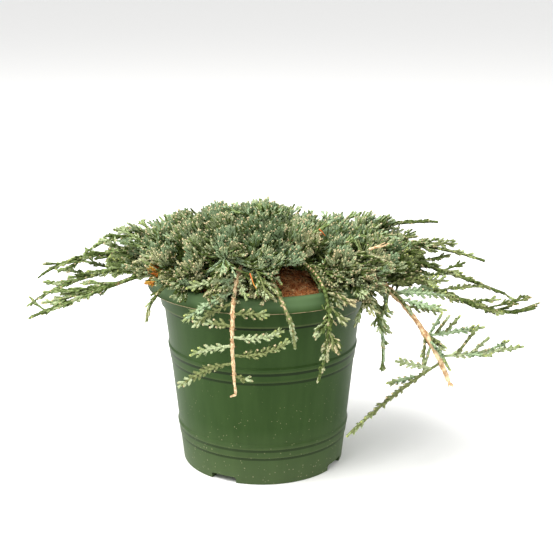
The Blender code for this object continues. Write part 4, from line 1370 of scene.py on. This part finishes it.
def limb(shape, points, radii, sides=LIMB_SIDES):
    """A closed, tapering limb along points, added to a shape."""
    frames = [
        Matrix.Translation(point) @ turn.to_4x4() @ Matrix.Diagonal((radius, radius, radius, 1))
        for point, turn, radius in zip(points, frames_along(points), radii)
    ]
    made = bmesh.ops.create_circle(shape, cap_ends=True, segments=sides, radius=1, matrix=frames[0])
    ring = list({e for v in made["verts"] for e in v.link_edges})
    for before, after in zip(frames, frames[1:]):
        grown = bmesh.ops.extrude_edge_only(shape, edges=ring)["geom"]
        verts = [g for g in grown if isinstance(g, bmesh.types.BMVert)]
        ring = [g for g in grown if isinstance(g, bmesh.types.BMEdge) and set(g.verts) <= set(verts)]
        bmesh.ops.transform(shape, matrix=after @ before.inverted(), verts=verts)
    bmesh.ops.holes_fill(shape, edges=ring, sides=0)


def barked(shape, depth):
    """Raises ridges of bark on a shape."""
    bmesh.ops.recalc_face_normals(shape, faces=shape.faces)
    shape.normal_update()
    for vert in shape.verts:
        ridge = noise.noise(vert.co / 0.0016) * 0.6 + noise.noise(vert.co / 0.006)
        vert.co += vert.normal * (ridge * depth)
    return shape


# %% Trunk and boughs
bark, tree, shader, place = new_finish("juniper_bark_peeling", 0.85)
strips = grain(tree, place, 1.1, 4, 0.65)
patches = between(tree, grain(tree, place, 5, 3, 0.6), 0.40, 0.62)
wood = blend(tree, between(tree, strips, 0.36, 0.60), "#7c5132", "#c49a6c")
tree.links.new(blend(tree, patches, wood, "#ead3aa"), shader.inputs["Base Color"])
relief(tree, shader, strips, 0.5)

shape = bmesh.new()
heights = [BALL_TOP + GAP + (TRUNK_HEIGHT - GAP) * i / 18 for i in range(19)]
limb(shape, *zip(*(trunk_at(h) for h in heights)), 24)
piece("trunk_bark", mesh_of("trunk_bark", barked(shape, 0.0005), 50), bark, ["trunk"])

BROKEN_ENDS = {"front_hanging": (Vector((0.0002, 0, -0.0020)), Vector((-0.0042, -0.0004, -0.0036)))}
LEAST_BARE = {"front_hanging": 0.00100, "right_hanging": 0.00180}
SWELL = {"front_hanging": 1.02, "right_hanging": 1.50}
KNOT = 0.40
KNOT_LENGTH = 0.0018


def bare_radius(stem, share):
    """A bare stem's radius, with a knot where each spray leaves it."""
    knots = sum(max(1 - abs(share - spray.share) * stem.reach / KNOT_LENGTH, 0) for spray in SPRAYS[stem.name])
    return max(stem_radius(stem, share) * SWELL[stem.name], LEAST_BARE[stem.name]) * (1 + KNOT * min(knots, 1))


shape = bmesh.new()
for stem in STEMS:
    bare = stem.name in SWELL
    steps = max(round(stem.reach / (LIMB_STEP * (0.4 if bare else 1))), 8)
    end = 1.0 if stem.name in BARE_STEMS else 0.62
    part = bmesh.new()
    points = [stem_point(stem, end * i / steps) for i in range(steps + 1)]
    radii = [stem_radius(stem, end * i / steps) for i in range(steps + 1)]
    if bare:
        radii = [bare_radius(stem, end * i / steps) for i in range(steps + 1)]
        points += [points[-1] + step for step in BROKEN_ENDS.get(stem.name, ())]
        radii += [radii[-1], radii[-1] * 0.7][: len(points) - len(radii)]
    limb(part, points, radii)
    barked(part, 0.00040 if bare else 0.00022)
    mesh = mesh_of("limb", part)
    shape.from_mesh(mesh)
    bpy.data.meshes.remove(mesh)
bough_nodes = [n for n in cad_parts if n.startswith("bough_")]
piece("bough_bark", mesh_of("bough_bark", shape, 50), bark, bough_nodes)

# %% Peeling strips and stubs
# The two bare stems shed their bark in strips that come loose at one end, and broken side twigs leave stubs.
STRIP_STEPS = 4
STRIP_THICK = 0.00025
BARE_LENGTHS = {"front_hanging": (0.44, 0.97, 46), "right_hanging": (0.40, 0.99, 60)}


def speed_at(stem, share):
    """How fast the stem's line runs at a share, in metres for a whole share."""
    return (stem_point(stem, min(share + 0.005, 1)) - stem_point(stem, share - 0.005)).length / 0.01


def loose_strip(shape, stem, share, turn, length, width, lift):
    """A strip of bark along a stem that curls away from it at one end."""
    rows = []
    for k in range(STRIP_STEPS + 1):
        part = k / STRIP_STEPS
        place = min(share + length * part / speed_at(stem, share), 0.999)
        along = (stem_point(stem, place) - stem_point(stem, place - 0.01)).normalized()
        out = Matrix.Rotation(turn, 3, along) @ beside(along)
        half = along.cross(out) * (width / 2 * (1 - 0.7 * part**2))
        away = bare_radius(stem, place) + 0.0001 + lift * part**2
        middle = stem_point(stem, place) + out * away
        rows.append([shape.verts.new(middle + half * side) for side in (-1, 1)])
    for (a, b), (c, d) in zip(rows, rows[1:]):
        shape.faces.new((a, b, d, c))


def stub(shape, place, way, length, radius):
    """A short, blunt, broken twig."""
    turn = way.to_track_quat("Z", "Y").to_matrix().to_4x4()
    bmesh.ops.create_cone(
        shape,
        cap_ends=True,
        segments=6,
        radius1=radius,
        radius2=radius * 0.45,
        depth=length,
        matrix=Matrix.Translation(place + way * (length / 2)) @ turn,
    )


peel = random.Random(f"{SEED} peel")
strips_shape, stubs_shape = bmesh.new(), bmesh.new()
for name, (low, high, count) in BARE_LENGTHS.items():
    stem = next(s for s in STEMS if s.name == name)
    for i in range(count):
        share = low + (high - low) * (i + peel.random()) / count
        turn, length = peel.uniform(0, 2 * pi), peel.uniform(0.003, 0.009)
        loose_strip(
            strips_shape, stem, share, turn, length, peel.uniform(0.0008, 0.0018), peel.uniform(0.0001, 0.0012)
        )
        if i % 4 == 0:
            side = beside((stem_point(stem, share) - stem_point(stem, share - 0.01)).normalized())
            way = (side * peel.choice((-1, 1)) + UP * peel.uniform(-0.3, 0.3)).normalized()
            stub(stubs_shape, stem_point(stem, share) + way * 0.0006, way, peel.uniform(0.0014, 0.0026), 0.0005)
tip = stem_point(stem, 1.0)
for i in range(10):
    way = (stem_point(stem, 1.0) - stem_point(stem, 0.97)).normalized() + heading(36 * i, peel.uniform(-60, 60)) * 0.5
    stub(strips_shape, tip - way.normalized() * 0.001, way.normalized(), peel.uniform(0.0035, 0.0065), 0.0010)
bmesh.ops.recalc_face_normals(strips_shape, faces=strips_shape.faces)
papery, tree, shader, place = new_finish("juniper_bark_papery", 0.8)
tree.links.new(
    blend(tree, between(tree, grain(tree, place, 1.6, 3), 0.35, 0.65), "#a5774a", "#f0d8ac"), shader.inputs["Base Color"]
)
strips_mesh = mesh_of("peeling_strips", strips_shape)
strips = piece("peeling_strips", strips_mesh, papery)
thick = strips.modifiers.new("Thickness", "SOLIDIFY")
thick.thickness = STRIP_THICK

# %% Twigs
TUBE_SIDES = 3


def tube_mesh(name, lines):
    """Thin tubes along many lines, as one mesh."""
    points, faces, used = [], [], 0
    for line, radius in lines:
        for k, (point, turn) in enumerate(zip(line, frames_along(line))):
            thick = radius * (1 - 0.6 * k / (len(line) - 1))
            for i in range(TUBE_SIDES):
                a = 2 * pi * i / TUBE_SIDES
                points.append(point + turn @ Vector((cos(a), sin(a), 0)) * thick)
        for k in range(len(line) - 1):
            for i in range(TUBE_SIDES):
                a, b = used + k * TUBE_SIDES + i, used + k * TUBE_SIDES + (i + 1) % TUBE_SIDES
                faces.append((a, b, b + TUBE_SIDES, a + TUBE_SIDES))
        used += len(line) * TUBE_SIDES
    return mesh_from_arrays(name, np.array([tuple(p) for p in points]), np.array(faces), smooth=True)


twig_finish, tree, shader, place = new_finish("young_bark_reddish", 0.8)
tree.links.new(
    blend(tree, between(tree, grain(tree, place, 3, 3), 0.4, 0.6), "#4f3b22", "#6f5636"), shader.inputs["Base Color"]
)
piece("twigs", tube_mesh("twigs", growth.wood), twig_finish)
piece("twig_stubs", mesh_of("twig_stubs", stubs_shape, 50), twig_finish)

# %% Dry bits on top
# A dry blade of grass, a yellow shoot and a bare, peeling twig lie on the crown.
DRY_BITS = (
    ((-0.0092, -0.1000, 0.1865), (-0.0066, -0.1020, 0.1790), (-0.0022, -0.0990, 0.1700), 0.0006),
    ((0.0450, -0.0310, 0.2040), (0.0475, -0.0325, 0.2020), (0.0500, -0.0335, 0.1990), 0.0009),
)
dry_finish, tree, shader, place = new_finish("dry_grass_orange", 0.6)
dryness = between(tree, add_node(tree, "ShaderNodeSeparateXYZ", {"Vector": place}).outputs["Z"], 0.174, 0.183)
tree.links.new(blend(tree, dryness, "#e2b23c", "#e07432"), shader.inputs["Base Color"])
piece("dry_bits", tube_mesh("dry_bits", [([Vector(p) for p in bit[:3]], bit[3]) for bit in DRY_BITS]), dry_finish)
BARE_TWIG = ((0.0830, -0.0560, 0.1935), (0.0870, -0.0580, 0.1955), (0.0930, -0.0580, 0.1965), (0.0985, -0.0560, 0.1985))
twig_points = [Vector(p) for p in BARE_TWIG]
twig_lines = [(twig_points, 0.0013), ([twig_points[1], twig_points[1] + Vector((0.008, 0.0, 0.004))], 0.0008)]
piece("bare_twig", tube_mesh("bare_twig", twig_lines), papery)

# %% Coir fibres
FIBRES = 2600
lay = random.Random(f"{SEED} fibres")
strands = []
for _ in range(FIBRES):
    out, bearing = edge * lay.random() ** 0.5 * 0.97, lay.uniform(0, 360)
    start = heading(bearing) * out
    course, turn = lay.uniform(0, 360), lay.uniform(-60, 60)
    length, line = lay.uniform(0.005, 0.018), []
    for k in range(6):
        start = start + heading(course + turn * k / 5) * (length / 6)
        if start.length > edge - 0.001:
            break
        hump = 0.0024 * sin(pi * (k + 0.5) / 6) * lay.uniform(0.2, 1.2)
        flat = Vector((start.x, start.y, soil_height(start.length)))
        line.append(flat + UP * (crumbs(flat) + 0.0002 + hump))
    if len(line) > 2:
        strands.append((line, lay.uniform(0.00014, 0.00040)))
fibre_finish, tree, shader, place = new_finish("coir_fibre_dry", 0.75)
tree.links.new(
    blend(tree, between(tree, grain(tree, place, 6, 2), 0.4, 0.6), "#b9662c", "#efbf84"), shader.inputs["Base Color"]
)
piece("coir_fibres", tube_mesh("coir_fibres", strands), fibre_finish)

# %% [markdown]
# ## The floor
# The pot stands on a wide white surface, which is part of the studio and not of the plant.

# %% Floor
shape = bmesh.new()
bmesh.ops.create_grid(shape, x_segments=1, y_segments=1, size=40)
floor_mesh = mesh_of("floor", shape)
floor_finish, tree, shader, place = new_finish("studio_paper_white", 0.9)
shader.inputs["Base Color"].default_value = linear("#fbfbfa")
floor_mesh.materials.append(floor_finish)
floor_piece = bpy.data.objects.new("floor", floor_mesh)
bpy.context.scene.collection.objects.link(floor_piece)
floor_piece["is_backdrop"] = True

# %% [markdown]
# ## Sizes at the end
# The boxes that the solids and the dressed plant take are both printed. The dressed plant has to
# stay in the room that its solids take.

# %% Sizes, and the end
dressed_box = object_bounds()
[[list(corner) for corner in box] for box in (solid_box, dressed_box)]
for label, box in (("solids", solid_box), ("dressed", dressed_box)):
    print(label, [round(x, 4) for corner in box for x in corner])
